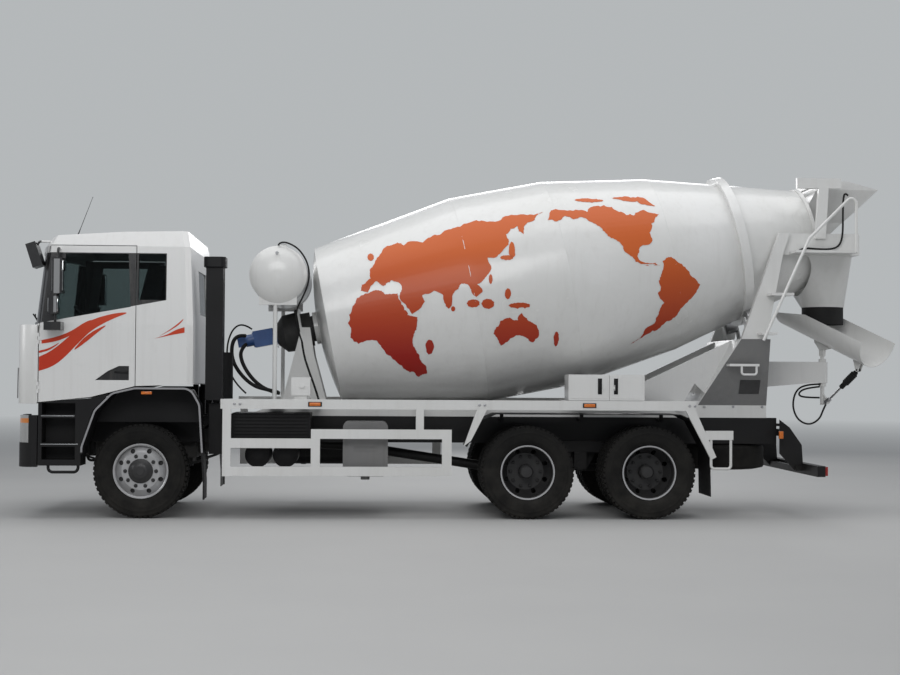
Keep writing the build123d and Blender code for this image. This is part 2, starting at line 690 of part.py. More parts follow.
# Spare wheel, lying flat under the end of the frame, hung by its carrier
spare_x = fa - 6640
spare_z = 650
with BuildPart() as spare_wheel:
    with BuildSketch(Plane(origin=(spare_x, 0, spare_z), x_dir=(0, 0, 1), z_dir=(0, -1, 0))) as section:
        Polygon(*tyre_outline(), align=None)
    revolve(section.sketch, axis=Axis((spare_x, 0, 0), (0, 0, 1)))
    f, h, w = rim_flange_radius, rim_flange_half, rim_wall
    with BuildSketch(Plane(origin=(spare_x, 0, spare_z), x_dir=(0, 0, 1), z_dir=(0, -1, 0))) as section:
        Polygon((-h, f), (-bead_half, f), (-bead_half, bead_radius), (bead_half, bead_radius),
                (bead_half, f), (h, f), (h, f - w), (bead_half + w, bead_radius - w),
                (-bead_half - w, bead_radius - w), (-h, f - w), align=None)
        Polygon((40, bead_radius - 5), (90, 205), (90, 80), (78, 80), (78, 200), (28, bead_radius - 5),
                align=None)
    revolve(section.sketch, axis=Axis((spare_x, 0, 0), (0, 0, 1)))
    rod((spare_x, 0, spare_z + 78), (spare_x, 0, rail_bottom + 60), 30)
    block((spare_x - 80, spare_x + 240), (-200, 200), (rail_bottom + 60, rail_bottom + 84.7))
    rod((spare_x, 0, spare_z + 60), (spare_x, 0, spare_z + 79), 110)
save(spare_wheel.part, "spare_wheel")

# Rear bumper: lamp plates hung from the rails and the underrun bar
with BuildPart() as rear_bumper:
    for side in (1, -1):
        plate([(fa - 7210.3, 1090), (fa - 7330, 1000), (fa - 7470, 800), (fa - 7490, 505), (fa - 7390, 505),
               (fa - 7210.3, 700)], side * 560 + 6, 12)
        block((fa - 7330, fa - 7210.3), (side * (rail_half - 30), side * 566), (900, 980))
    block((fa - 7560, fa - 7470), (-1190, 1190), (470, 590))
    block((fa - 7470, fa - 7390), (-600, 600), (505, 560))
save(rear_bumper.part, "rear_bumper")

# Mixer subframe: two box rails over the chassis rails, with crossmembers
pedestal_plate_station = -330
with BuildPart() as subframe:
    for side in (1, -1):
        block((subframe_rear, subframe_front), (side * 350, side * rail_half), (rail_top, subframe_top))
        plate([(subframe_front, rail_top), (subframe_front + 240, rail_top), (subframe_front,
                                                                              subframe_top - 60)],
              side * 390 + 40, 80)
    for behind in (1500, 2450, 3400, 4350, 5300, 6200, 7080):
        block((fa - behind, fa - behind + 90), (-350, 350), (rail_top + 20, subframe_top - 20))

    # Front pedestal on the same weldment: leaning cheeks and the plate for the drum's gearbox
    for side in (1, -1):
        plate([(fa - 1480, subframe_top), (fa - 2000, subframe_top), (fa - 1850, 1800), (fa - 1800, 2120),
               (fa - 1700, 2120), (fa - 1620, 1800)], side * 320 + 8, 16)
    block((fa - 1990, fa - 1480), (-400, 400), (subframe_top, subframe_top + 30))
    block((fa - 1990, fa - 1480), (-400, 400), (subframe_top - 30, subframe_top))
    block((fa - 1840, fa - 1640), (-312, 312), (1560, 1590))
    with BuildSketch(Plane(origin=on_drum(pedestal_plate_station), x_dir=(0, 1, 0),
                           z_dir=drum_axis)) as plate_face:
        Rectangle(650, 520)
        Circle(200, mode=Mode.SUBTRACT)
    extrude(plate_face.sketch, amount=24)

    # Water tank's stand on the same weldment: an arm, a post and a saddle each side
    for side in (1, -1):
        y = side * 860
        rod((tank_x + 30, y, 1230), (tank_x + 30, y, tank_z - tank_radius - 4), 24)
        block((tank_x - 60, tank_x + 120), (side * (rail_half - 40), side * 900), (1215, 1249))
        with BuildSketch(side_plane(y + 30)) as saddle:
            with Locations((tank_x, tank_z - 190)):
                Rectangle(420, 300)
            with Locations((tank_x, tank_z)):
                Circle(tank_radius + seat_gap, mode=Mode.SUBTRACT)
        extrude(saddle.sketch, amount=60)
save(subframe.part, "subframe")


def drum_turned(outline):
    """A turned piece on the drum's axis, by (back along the axis, out from it) points."""
    with BuildSketch(drum_plane) as face:
        Polygon(*outline, align=None)
    revolve(face.sketch, axis=Axis(drum_head, drum_axis))


# Drum gearbox: a bellied casting on the axis, bolted through the pedestal's plate
with BuildPart() as drum_gearbox:
    drum_turned([(-170, 0), (-170, 150), (-200, 150), (-200, 199), (-330.3, 199), (-330.3, 255), (-370, 255),
                 (-370, 225), (-520, 215), (-580, 150), (-612, 120), (-612, 0)])
save(drum_gearbox.part, "drum_gearbox")

with BuildPart() as hydraulic_motor:
    drum_turned([(-612, 0), (-612, 105), (-640, 105), (-640, 88), (-900, 88), (-900, 70), (-985, 70),
                 (-985, 0)])
    with Locations(Plane(origin=on_drum(-770), x_dir=drum_axis, z_dir=(0, 1, 0))):
        Box(230, 190, 200)
    with Locations(Plane(origin=on_drum(-1030), x_dir=drum_axis, z_dir=(0, 1, 0))):
        Box(92, 120, 130)
save(hydraulic_motor.part, "hydraulic_motor")

# Drum: a welded shell of cones round a straight course, with a dished head and a roller ring
with BuildPart() as drum:
    outer = list(drum_stations)
    inner = [(station, radius - drum_wall) for station, radius in drum_stations]
    with BuildSketch(drum_plane) as shell:
        with BuildLine():
            Polyline(*outer)
            Line(outer[-1], inner[-1])
            Polyline(*reversed(inner))
            ThreePointArc(inner[0], (-drum_dish * 0.75 + drum_wall, outer[0][1] * 0.5),
                          (-drum_dish + drum_wall, 0))
            Line((-drum_dish + drum_wall, 0), (-drum_dish, 0))
            ThreePointArc((-drum_dish, 0), (-drum_dish * 0.75, outer[0][1] * 0.5), outer[0])
        make_face()
    revolve(shell.sketch, axis=Axis(drum_head, drum_axis))
    drum_turned([(-169, 0), (-169, 190), (-100, 190), (-100, 0)])
    low, high = ring_station - ring_width / 2, ring_station + ring_width / 2
    cone = (drum_stations[3][1] - drum_stations[4][1]) / (drum_stations[4][0] - drum_stations[3][0])
    seat = drum_stations[3][1] - cone * (ring_station - drum_stations[3][0])
    drum_turned([(low, seat + 5), (low, ring_radius), (high, ring_radius), (high, seat - 20)])
    mouth = drum_stations[-1][0]
    drum_turned([(mouth - 40, 566), (mouth - 40, 590), (mouth, 590), (mouth, 560)])
save(drum.part, "drum")

# Water tank: a drum across the truck with domed ends, on two posts and a saddle
with BuildPart() as water_tank:
    straight = tank_half - tank_dome
    with BuildSketch(Plane(origin=(tank_x, 0, tank_z), x_dir=(0, 1, 0), z_dir=(1, 0, 0))) as half_tank:
        with BuildLine():
            Polyline((tank_half, 20), (tank_half, 0), (0, 0), (0, tank_radius), (straight, tank_radius))
            ThreePointArc((straight, tank_radius), (tank_half - 34, tank_radius * 0.6), (tank_half, 20))
        make_face()
    revolve(half_tank.sketch, axis=Axis((tank_x, 0, tank_z), (0, 1, 0)))
    mirror(about=Plane.XZ)
    rod((tank_x - 30, 500, tank_z + 280), (tank_x - 30, 500, tank_z + 365), 45)
save(water_tank.part, "water_tank")

# Control box on the deck beside the drum's gearbox
with BuildPart() as control_box:
    block((fa - 1835, fa - 1625), (880, 1080), (1345, 1545))
    with Locations(Location((fa - 1740, 1090, 1455), (90, 0, 0))):
        Cylinder(28, 30)
    block((fa - 1800, fa - 1660), (900, 1060), (1306, 1345))
    block((fa - 1820, fa - 1640), (rail_half + 0.3, deck_y - deck_wall), (1280, 1306))
save(control_box.part, "control_box")

# Tool box on the left deck rail: a case open at the front, and its two doors
box_front = fa - 4678
box_back = fa - 5516
box_split = fa - 5127
box_low = 1306
box_high = 1594
box_in = 860
box_out = 1225
box_wall = 12
box_hinge_radius = 7
with BuildPart() as tool_box:
    block((box_back, box_front), (box_in, box_out), (box_low, box_high))
    for near, far in ((box_front, box_split), (box_split, box_back)):
        block((near - box_wall, far + box_wall), (box_in + box_wall, box_out + 1),
              (box_low + box_wall, box_high - box_wall), mode=Mode.SUBTRACT)
    block((box_back + 40, box_front - 40), (900, 1190), (1275.3, box_low))
    block((box_back + 60, box_back + 120), (rail_half + seat_gap, 900), (1275.3, box_low))
    block((box_front - 120, box_front - 60), (rail_half + seat_gap, 900), (1275.3, box_low))
save(tool_box.part, "tool_box")
for name, hinge_x, free_x, step in (("front", box_front, box_split, -1), ("rear", box_back, box_split, 1)):
    with BuildPart() as box_door:
        block((hinge_x + step * 3, free_x - step * 3), (box_out + seat_gap, box_out + 14),
              (box_low + 3, box_high - 3))
        block((hinge_x + step * 24, free_x - step * 24), (box_out + 13, box_out + 17),
              (box_low + 24, box_high - 24))
        rod((hinge_x + step * 3, box_out + 8, box_low + 6), (hinge_x + step * 3, box_out + 8, box_high - 6),
            box_hinge_radius)
        with Locations(Location((free_x - step * 60, box_out + 20, (box_low + box_high) / 2), (90, 0, 0))):
            Cylinder(16, 14)
            Box(14, 60, 8)
    save(box_door.part, f"tool_box_door_{name}")

# Rear pedestal: a flared hollow casing with gussets running forward, the roller brackets
# on its top, and behind it the arm that carries the chute's post
pedestal_top = 2010
pedestal_wall = 12
roller_centre = on_drum(ring_station, ring_radius + roller_radius + seat_gap, roller_angle)
roller_foot = (roller_centre.Z - pedestal_top - 10) / cos(radians(drum_tilt))
arm_low = 1515
arm_high = 1765
arm_half = 60
with BuildPart() as rear_pedestal:
    for side in (1, -1):
        plate([(fa - 5620, subframe_top), (fa - 5620, 1500), (fa - 6640, 1985), (fa - 6700, pedestal_top),
               (fa - 7000, pedestal_top), (fa - 7088, subframe_top)], side * 424 + 6, pedestal_wall)
        plate([(fa - 6130, 1300), (fa - 6460, 1300), (fa - 6250, 1500)], side * 424 + 7, 14,
              mode=Mode.SUBTRACT)
    for shrink, mode in ((0, Mode.ADD), (pedestal_wall, Mode.SUBTRACT)):
        with BuildSketch(Plane.XY.offset(subframe_top + (seat_gap if mode == Mode.ADD else -1))) as foot:
            with Locations((fa - 6690, 0)):
                Rectangle(800 - 2 * shrink, 860 - 2 * shrink)
        with BuildSketch(Plane.XY.offset(pedestal_top - shrink * 1.3)) as head:
            with Locations((fa - 6860, 0)):
                Rectangle(350 - 2 * shrink, 1660 - 2 * shrink)
        loft([foot.sketch.face(), head.sketch.face()], mode=mode)
    for side in (1, -1):
        centre = Vector(roller_centre.X, side * roller_centre.Y, roller_centre.Z)
        for out in (roller_width / 2 + 8, -roller_width / 2 - 22):
            with BuildSketch(Plane(origin=centre, x_dir=(0, 1, 0), z_dir=drum_axis).offset(out)) as ear:
                Circle(55)
                Polygon((-55, 0), (55, 0), (80, roller_foot), (-80, roller_foot), align=None)
                Circle(roller_shaft + running_gap, mode=Mode.SUBTRACT)
            extrude(ear.sketch, amount=14)
        block((fa - 7030, fa - 6830), (side * (roller_centre.Y - 100), side * (roller_centre.Y + 100)),
              (pedestal_top - 10, pedestal_top + 24))
    plate([(fa - 7055, arm_low - 60), (fa - 7055, arm_high), (post_x, arm_high), (post_x, arm_low),
           (post_x + 120, arm_low)], arm_half, 2 * arm_half)
    plate([(fa - 7080, arm_low - 30), (fa - 7080, arm_high - 40), (post_x + 130, arm_high - 40),
           (post_x + 130, arm_low + 20)], arm_half - 8, 2 * arm_half - 16, mode=Mode.SUBTRACT)
    with Locations((post_x, 0, (arm_low + arm_high) / 2)):
        Cylinder(60, arm_high - arm_low)
        Cylinder(post_radius + running_gap, arm_high - arm_low + 2, mode=Mode.SUBTRACT)
    block((fa - 6900, fa - 6560), (600, 860), (1700, 1728))
    bent_bar([(fa - 6870, 846, 1702), (fa - 6870, 846, 1606), (fa - 6700, 846, 1606), (fa - 6700, 846, 1702)],
             30, 13)
save(rear_pedestal.part, "rear_pedestal")

# Drum rollers, each with its own shaft between the pedestal's ears
for name, side in (("left", 1), ("right", -1)):
    centre = Vector(roller_centre.X, side * roller_centre.Y, roller_centre.Z)
    with BuildPart() as roller:
        for radius, half in ((roller_radius, roller_width / 2), (roller_shaft, roller_width / 2 + 24)):
            with BuildSketch(Plane(origin=centre, x_dir=(0, 1, 0), z_dir=drum_axis)) as disc:
                Circle(radius)
            extrude(disc.sketch, amount=half, both=True)
    save(roller.part, f"drum_roller_{name}")

# Support frame for the hoppers: the deck plate and the funnel under it, both cut clear of
# the drum's mouth, then leaning columns, the deck's sides, posts and top beams
deck_low = 2980
deck_high = 3225
funnel_sheet = 6
mouth_room = [(3900, 0), (3900, 1060), (5765, 615), (5765, 0)]
with BuildPart() as support_frame:
    block((fa - 8085, fa - 7300), (-support_y - 12, support_y + 12), (deck_low, deck_low + 10))
    for shrink, mode in ((0, Mode.ADD), (funnel_sheet, Mode.SUBTRACT)):
        extra = 0 if mode == Mode.ADD else 20
        with BuildSketch(Plane.XY.offset(funnel_top_z + extra)) as top:
            with Locations((fa - 7740, 0)):
                RectangleRounded(680 - 2 * shrink, 1240 - 2 * shrink, 150)
        with BuildSketch(Plane.XY.offset(funnel_bottom_z - extra / 10)) as low:
            with Locations((post_x, 0)):
                RectangleRounded(2 * (funnel_bottom_radius - shrink), 2 * (funnel_bottom_radius - shrink),
                                 funnel_bottom_radius - shrink - 1)
        loft([top.sketch.face(), low.sketch.face()], mode=mode, ruled=True)
    with BuildSketch(drum_plane) as room:
        Polygon(*mouth_room, align=None)
    revolve(room.sketch, axis=Axis(drum_head, drum_axis), mode=Mode.SUBTRACT)
    for side in (1, -1):
        plate([(fa - 6705, pedestal_top + seat_gap), (fa - 6995, pedestal_top + seat_gap), (fa - 7180,
                                                                                            deck_low),
               (fa - 7260, deck_high), (fa - 7140, deck_high)],
              side * (support_y + support_wall / 2) + support_wall / 2, support_wall)
        plate([(fa - 7140, deck_high), (fa - 8085, deck_high), (fa - 8085, deck_low), (fa - 7100, deck_low)],
              side * (support_y + 6) + 6, 12)
        plate([(fa - 7560, deck_high - 60), (fa - 7680, deck_high - 60), (fa - 7720, 3850), (fa - 7610,
                                                                                             3850)],
              side * (support_y + 30) + 30, 60)
        block((fa - 7860, fa - 7350), (side * support_y, side * (support_y + 60)), (3740, 3856))
    block((fa - 8085, fa - 8073), (-support_y, support_y), (deck_low, deck_high))
    block((fa - 7640, fa - 7600), (-support_y, support_y), (3790, 3850))
save(support_frame.part, "support_frame")

# Ladder up to the deck, with its handrail
ladder_in = support_y + support_wall + seat_gap
ladder_out = 1040
ladder_steps = (
    # front edge, back edge, z
    (fa - 6990, fa - 7250, 2500),
    (fa - 6880, fa - 7060, 2055),
)
with BuildPart() as ladder:
    for near, far, z in ladder_steps:
        block((far, near), (ladder_in, ladder_out), (z, z + 28))
    block((fa - 7900, fa - 7270), (support_y + 12 + seat_gap, ladder_out), (2985, 3013))
    bent_bar([(fa - 6900, ladder_out, 1990), (fa - 7420, ladder_out, 3140), (fa - 7900, ladder_out, 3620),
              (fa - 7960, ladder_out, 3560), (fa - 7960, ladder_out, 2990)], 50, 17)
    block((fa - 7975, fa - 7890), (support_y + 12 + seat_gap, ladder_out), (2985, 3013))
save(ladder.part, "ladder")

# Charge hopper: a tapering funnel of sheet, open above and into the drum's mouth
hopper_sheet = 6
hopper_side = [(fa - 7700, 3858), (fa - 8010, 3858), (fa - 8384, 3765), (fa - 8120, 3490), (fa - 7870, 3250),
               (fa - 7480, 3070), (fa - 7440, 3250), (fa - 7600, 3620)]
hopper_across = [(540, 3870), (520, 3760), (300, 3400), (250, 3050)]


def hopper_form(inset):
    """The hopper's solid form, drawn in by the sheet's thickness."""
    with BuildPart() as form:
        with BuildSketch(side_plane(560)) as side_face:
            Polygon(*hopper_side, align=None)
            if inset:
                offset(amount=-inset, kind=Kind.INTERSECTION)
        extrude(side_face.sketch, amount=1120)
        half = [(y - inset, z) for y, z in hopper_across]
        with BuildSketch(Plane.YZ.offset(fa - 8600)) as across:
            Polygon(*half, *[(-y, z) for y, z in reversed(half)], align=None)
        extrude(across.sketch, amount=1400, mode=Mode.INTERSECT)
    return form.part


with BuildPart() as charge_hopper:
    add(hopper_form(0))
    add(hopper_form(hopper_sheet), mode=Mode.SUBTRACT)
    plate([(fa - 7720, 3900), (fa - 8000, 3900), (fa - 8330, 3790), (fa - 8300, 3740), (fa - 8010, 3840),
           (fa - 7720, 3840)], 480, 960, mode=Mode.SUBTRACT)
    plate([(fa - 7400, 3300), (fa - 7400, 3000), (fa - 7500, 3085), (fa - 7560, 3440)], 480, 960,
          mode=Mode.SUBTRACT)
    with BuildSketch(drum_plane) as rim_room:
        Polygon((5400, 610), (5400, 720), (5765, 660), (5765, 535), (5690, 540), align=None)
    revolve(rim_room.sketch, axis=Axis(drum_head, drum_axis), mode=Mode.SUBTRACT)
    for side in (1, -1):
        block((fa - 7800, fa - 7720), (side * 528, side * (support_y - seat_gap)), (3780, 3820))
save(charge_hopper.part, "charge_hopper")

# Rubber skirt hung inside the funnel's foot
skirt_low = 2206
with BuildPart() as rubber_skirt:
    with BuildSketch(Plane.XY.offset(skirt_low)) as hem:
        with Locations((post_x, 0)):
            Circle(funnel_bottom_radius - funnel_sheet - seat_gap)
            Circle(funnel_bottom_radius - funnel_sheet - 10, mode=Mode.SUBTRACT)
    extrude(hem.sketch, amount=funnel_bottom_z - skirt_low + 4)
save(rubber_skirt.part, "rubber_skirt")

# Chute: the swivel post, the tilting trough, and the strut that holds the trough up
swing = radians(180 - chute_swing_rest)
chute_out = Vector(cos(swing), sin(swing), 0)
hinge = Vector(post_x, 0, chute_hinge_z)
chute_plane = Plane(origin=hinge, x_dir=chute_out, z_dir=chute_out.cross(Vector(0, 0, 1)))
lateral = chute_plane.z_dir
slope = radians(chute_slope)
trough_dir = chute_out * cos(slope) + Vector(0, 0, -sin(slope))
trough_up = chute_out * sin(slope) + Vector(0, 0, cos(slope))
floor_lift = 46
strut_low = Vector(post_x, 0, 1290) + chute_out * 70
strut_high = Vector(post_x, 0, 1670) + chute_out * 560
strut_pin = 12
pin_play = 3.2
with BuildPart() as chute_post:
    rod((post_x, 0, 1270), (post_x, 0, chute_hinge_z - 40), post_radius)
    for z_low, z_high in ((1470, arm_low - seat_gap), (arm_high + seat_gap, arm_high + 36)):
        rod((post_x, 0, z_low), (post_x, 0, z_high), 44)
    with BuildSketch(chute_plane) as lug:
        Polygon((-24, -690), (-24, -560), (20, -560), (85, -629), (97, -655), (85, -681), (60, -682),
                (20, -690), align=None)
        with Locations((70, -655)):
            Circle(strut_pin + pin_play, mode=Mode.SUBTRACT)
    extrude(lug.sketch, amount=12, both=True)
    with BuildSketch(chute_plane) as head:
        Circle(34)
        Polygon((-30, -110), (30, -110), (34, 0), (-34, 0), align=None)
        Circle(15 + running_gap, mode=Mode.SUBTRACT)
    extrude(head.sketch, amount=24, both=True)
save(chute_post.part, "chute_post")


def trough_face(start, outer, deep):
    """The trough's outline across its run: a half circle with straight sides above."""
    with BuildSketch(Plane(origin=start, x_dir=lateral * -1, z_dir=trough_dir)) as face:
        with BuildLine():
            Line((-outer, deep), (-outer, chute_half))
            ThreePointArc((-outer, chute_half), (0, chute_half - outer), (outer, chute_half))
            Polyline((outer, chute_half), (outer, deep), (-outer, deep))
        make_face()
    return face.sketch


with BuildPart() as chute:
    trough_start = hinge - trough_dir * chute_up + trough_up * floor_lift
    extrude(trough_face(trough_start, chute_half, chute_depth), amount=chute_up + chute_down)
    extrude(trough_face(trough_start - trough_dir, chute_half - chute_wall, chute_depth + 1),
            amount=chute_up + chute_down + 2, mode=Mode.SUBTRACT)
    with BuildSketch(chute_plane.offset(-400)) as taper:
        Polygon((-13, 378), (-485, 421), (-700, 421), (-700, 800), (-13, 800), align=None)
    extrude(taper.sketch, amount=800, mode=Mode.SUBTRACT)
    for start in (25, -45):
        with BuildSketch(chute_plane.offset(start)) as lug:
            Polygon((-90, 89), (160, -9), (120, -20), (20, -34), (-34, -10), (-90, 60), align=None)
            Circle(34)
        extrude(lug.sketch, amount=20)
    rod(hinge - lateral * 46, hinge + lateral * 46, 15)
    for start in (17, -29):
        with BuildSketch(Plane(origin=strut_high + lateral * start, x_dir=chute_out, z_dir=lateral)) as lug:
            Circle(22)
            Polygon((-22, 0), (22, 0), (60, 84), (-60, 130), align=None)
            Circle(strut_pin + running_gap, mode=Mode.SUBTRACT)
        extrude(lug.sketch, amount=12)
save(chute.part, "chute")

# Strut: its barrel hangs from the chute, its rod stands on a pin at the post's foot
strut_dir = (strut_low - strut_high).normalized()
with BuildPart() as strut_barrel:
    rod(strut_high - lateral * 29, strut_high + lateral * 29, strut_pin)
    rod(strut_high - lateral * 16, strut_high + lateral * 16, 21)
    rod(strut_high + strut_dir * 10, strut_high + strut_dir * 60, 16)
    rod(strut_high + strut_dir * 50, strut_high + strut_dir * 330, 30)
    rod(strut_high + strut_dir * 100, strut_high + strut_dir * 331, 13 + running_gap, mode=Mode.SUBTRACT)
save(strut_barrel.part, "strut_barrel")
with BuildPart() as strut_rod:
    rod(strut_high + strut_dir * 215, strut_low - strut_dir * 50, 13)
    rod(strut_low - strut_dir * 60, strut_low - strut_dir * 40, 24)
    rod(strut_low - lateral * 26, strut_low + lateral * 26, strut_pin)
    for start in (14, -26):
        with BuildSketch(Plane(origin=strut_low + lateral * start, x_dir=lateral.cross(strut_dir),
                               z_dir=lateral)) as cheek:
            Circle(22)
            Polygon((-16, 0), (16, 0), (16, 60), (-16, 60), align=None)
        extrude(cheek.sketch, amount=12)
    rod(strut_low - strut_dir * 56 - lateral * 26, strut_low - strut_dir * 56 + lateral * 26, 12)
save(strut_rod.part, "strut_rod")

# Cab: one form lofted through plan outlines, then hollowed, opened and split at its doors
cab_levels = (
    # z, centre of the front, its corners, half width, rear
    (cab_bottom - 6, 1292, 1170, 1240, cab_rear),
    (1767, 1340, 1205, cab_half, cab_rear),
    (2104, 1320, 1125, cab_half, cab_rear),
    (2960, 1223, 1027, 1215, cab_rear_top),
    (cab_roof + 5, 1060, 940, 1120, cab_rear_top + 40),
)
cab_corner = 60
cab_under = [(1400, 1239), (1090, 1261), (535, 1318), (54, 1440), (-700, 1465)]
roof_line = [(1400, 2950), (1223, 2980), (1048, 3040), (910, 3078), (200, 3125), (-477, cab_roof), (-700,
                                                                                                    cab_roof)]


def cab_form(inset):
    """The cab's solid form, drawn in all round by the inset."""
    faces = []
    for z, centre, corner, half, rear in cab_levels:
        front = fa + centre - inset
        turn = fa + corner - inset
        side = half - inset
        back = rear + inset
        with BuildSketch(Plane.XY.offset(z)) as face:
            with BuildLine():
                ThreePointArc((turn, 100 - side), (front, 0), (turn, side - 100))
                for way in (1, -1):
                    Polyline((turn, way * (side - 100)), (turn - cab_corner, way * side),
                             (back + cab_corner, way * side), (back, way * (side - cab_corner)))
                Line((back, side - cab_corner), (back, cab_corner - side))
            make_face()
        faces.append(face.sketch.face())
    with BuildPart() as form:
        loft(faces, ruled=True)
        plate([(fa + x, z + inset) for x, z in cab_under] + [(fa - 700, 1100), (fa + 1400, 1100)],
              1300, 2600, mode=Mode.SUBTRACT)
        plate([(fa + x, z - inset) for x, z in roof_line] + [(fa - 700, 3300), (fa + 1400, 3300)],
              1300, 2600, mode=Mode.SUBTRACT)
    return form.part


cab_outer = cab_form(0)
cab_inner = cab_form(cab_wall)
glass_depth = 14
glass_thickness = 6
cab_glass_outer = cab_form(glass_depth)
cab_glass_inner = cab_form(glass_depth + glass_thickness)
door_outline = [(fa + 1088, 1200), (fa + 1088, 2100), (fa + 1010, door_top), (door_rear, door_top),
                (door_rear, 1200)]
door_opening = [(fa + 1098, 1190), (fa + 1098, 2101), (fa + 1020, door_top + door_gap),
                (door_rear - door_gap, door_top + door_gap), (door_rear - door_gap, 1190)]
door_window = [(fa + 920, 2150), (fa + 812, 2876), (fa + 142, 2876), (fa + 110, 2298)]
quarter_window = [(fa + 30, 2376), (fa + 30, 2877), (fa - 262, 2877), (fa - 262, 2376)]
windscreen = [(-1040, 2135), (1040, 2135), (985, 2905), (-985, 2905)]
rear_window = [(-420, 2250), (420, 2250), (420, 2750), (-420, 2750)]
door_hinge_x = fa + 1093
door_hinge_y = 1239
door_hinge_z = (1420, 1950)
hinge_barrel = 8
hinge_pin = 4
door_in = 1148


def side_opening(points, side, near, far, inset=0.0, mode=Mode.SUBTRACT):
    """A prism through one of the cab's sides, from one distance out to another."""
    with BuildSketch(side_plane(side * near)) as face:
        Polygon(*points, align=None)
        if inset:
            offset(amount=-inset, kind=Kind.INTERSECTION)
    extrude(face.sketch, amount=-side * (far - near), mode=mode)


def end_opening(points, x_near, x_far, inset=0.0, mode=Mode.SUBTRACT):
    """A prism through the cab's front or rear wall."""
    with BuildSketch(Plane.YZ.offset(x_near)) as face:
        Polygon(*points, align=None)
        if inset:
            offset(amount=-inset, kind=Kind.INTERSECTION)
    extrude(face.sketch, amount=x_far - x_near, mode=mode)


with BuildPart() as cab_shell:
    add(cab_outer)
    add(cab_inner, mode=Mode.SUBTRACT)
    end_opening(windscreen, fa + 960, fa + 1450)
    end_opening(rear_window, fa - 700, fa - 400)
    for side in (1, -1):
        side_opening(door_opening, side, door_in - 5, 1300)
        side_opening(quarter_window, side, 1100, 1300)
        for z in door_hinge_z:
            y = side * door_hinge_y
            rod((door_hinge_x, y, z - 62), (door_hinge_x, y, z + 62), 13, mode=Mode.SUBTRACT)
            for low, high in ((z - 60, z - 20), (z + 20, z + 60)):
                rod((door_hinge_x, y, low), (door_hinge_x, y, high), hinge_barrel)
                block((door_hinge_x, door_hinge_x + 20), (y - 6, y + 6), (low, high))
            rod((door_hinge_x, y, z - 60), (door_hinge_x, y, z + 60), hinge_pin)
    bent_bar([(fa + 990, 1080, 3010), (fa + 1120, 1120, 3010), (fa + 1180, 1120, 2900)], 30, 12)
    with Locations(Location((fa + 1160, 1120, 2860), (0, 18, 0))):
        Box(110, 200, 270)
save(cab_shell.part, "cab_shell")

with BuildPart() as cab_windows:
    add(cab_glass_outer)
    add(cab_glass_inner, mode=Mode.SUBTRACT)
    with BuildPart(mode=Mode.PRIVATE) as panes:
        end_opening(windscreen, fa + 960, fa + 1450, seat_gap, Mode.ADD)
        end_opening(rear_window, fa - 700, fa - 400, seat_gap, Mode.ADD)
        for side in (1, -1):
            side_opening(quarter_window, side, 1100, 1300, seat_gap, Mode.ADD)
    add(panes.part, mode=Mode.INTERSECT)
save(cab_windows.part, "cab_windows")

# Cab interior: floor, dashboard, two seats and the steering wheel, and the legs that the cab tilts on
floor_rise = cab_wall + seat_gap
floor_line = [(fa + 1050, 1265.1), (fa + 535, 1318), (fa + 54, 1440), (fa - 455, 1456.9)]
with BuildPart() as cab_interior:
    plate([(x, z + floor_rise) for x, z in floor_line] + [(x, z + floor_rise + 14) for x,
                                                          z in reversed(floor_line)],
          1180, 2360)
    plate([(fa + 980, 1800), (fa + 1040, 2050), (fa + 960, 2110), (fa + 760, 2070), (fa + 720, 1950),
           (fa + 850, 1800)], 1080, 2160)
    block((fa + 900, fa + 980), (-1000, 1000), (1330, 1830))
    for y in (560, -560):
        plate([(fa + 480, 1388), (fa + 180, 1464), (fa + 180, 1800), (fa + 480, 1800)], y + 200, 400)
        block((fa + 60, fa + 580), (y - 260, y + 260), (1790, 1920))
        plate([(fa + 160, 1880), (fa + 20, 1880), (fa - 150, 2620), (fa - 120, 2780), (fa - 50, 2780),
               (fa - 20, 2620)], y + 230, 460)
    rod((fa + 800, 560, 2000), (fa + 660, 560, 2180), 24)
    with BuildSketch(Plane(origin=(fa + 660, 560, 2180), x_dir=(0, 1, 0), z_dir=(-140, 0, 180))) as wheel:
        Circle(235)
        Circle(205, mode=Mode.SUBTRACT)
        Rectangle(430, 40)
        Circle(60)
    extrude(wheel.sketch, amount=26)
    for side in (1, -1):
        y = side * cab_leg_y
        plate([(cab_pivot_x - 40, cab_pivot_z), (cab_pivot_x + 40, cab_pivot_z), (cab_pivot_x + 40, 1253.4),
               (cab_pivot_x - 40, 1259.1)], y + 25, 50)
        rod((cab_pivot_x, y - 25, cab_pivot_z), (cab_pivot_x, y + 25, cab_pivot_z), 40)
        rod((cab_pivot_x, y, cab_pivot_z), (cab_pivot_x, side * 420, cab_pivot_z), 22)
save(cab_interior.part, "cab_interior")

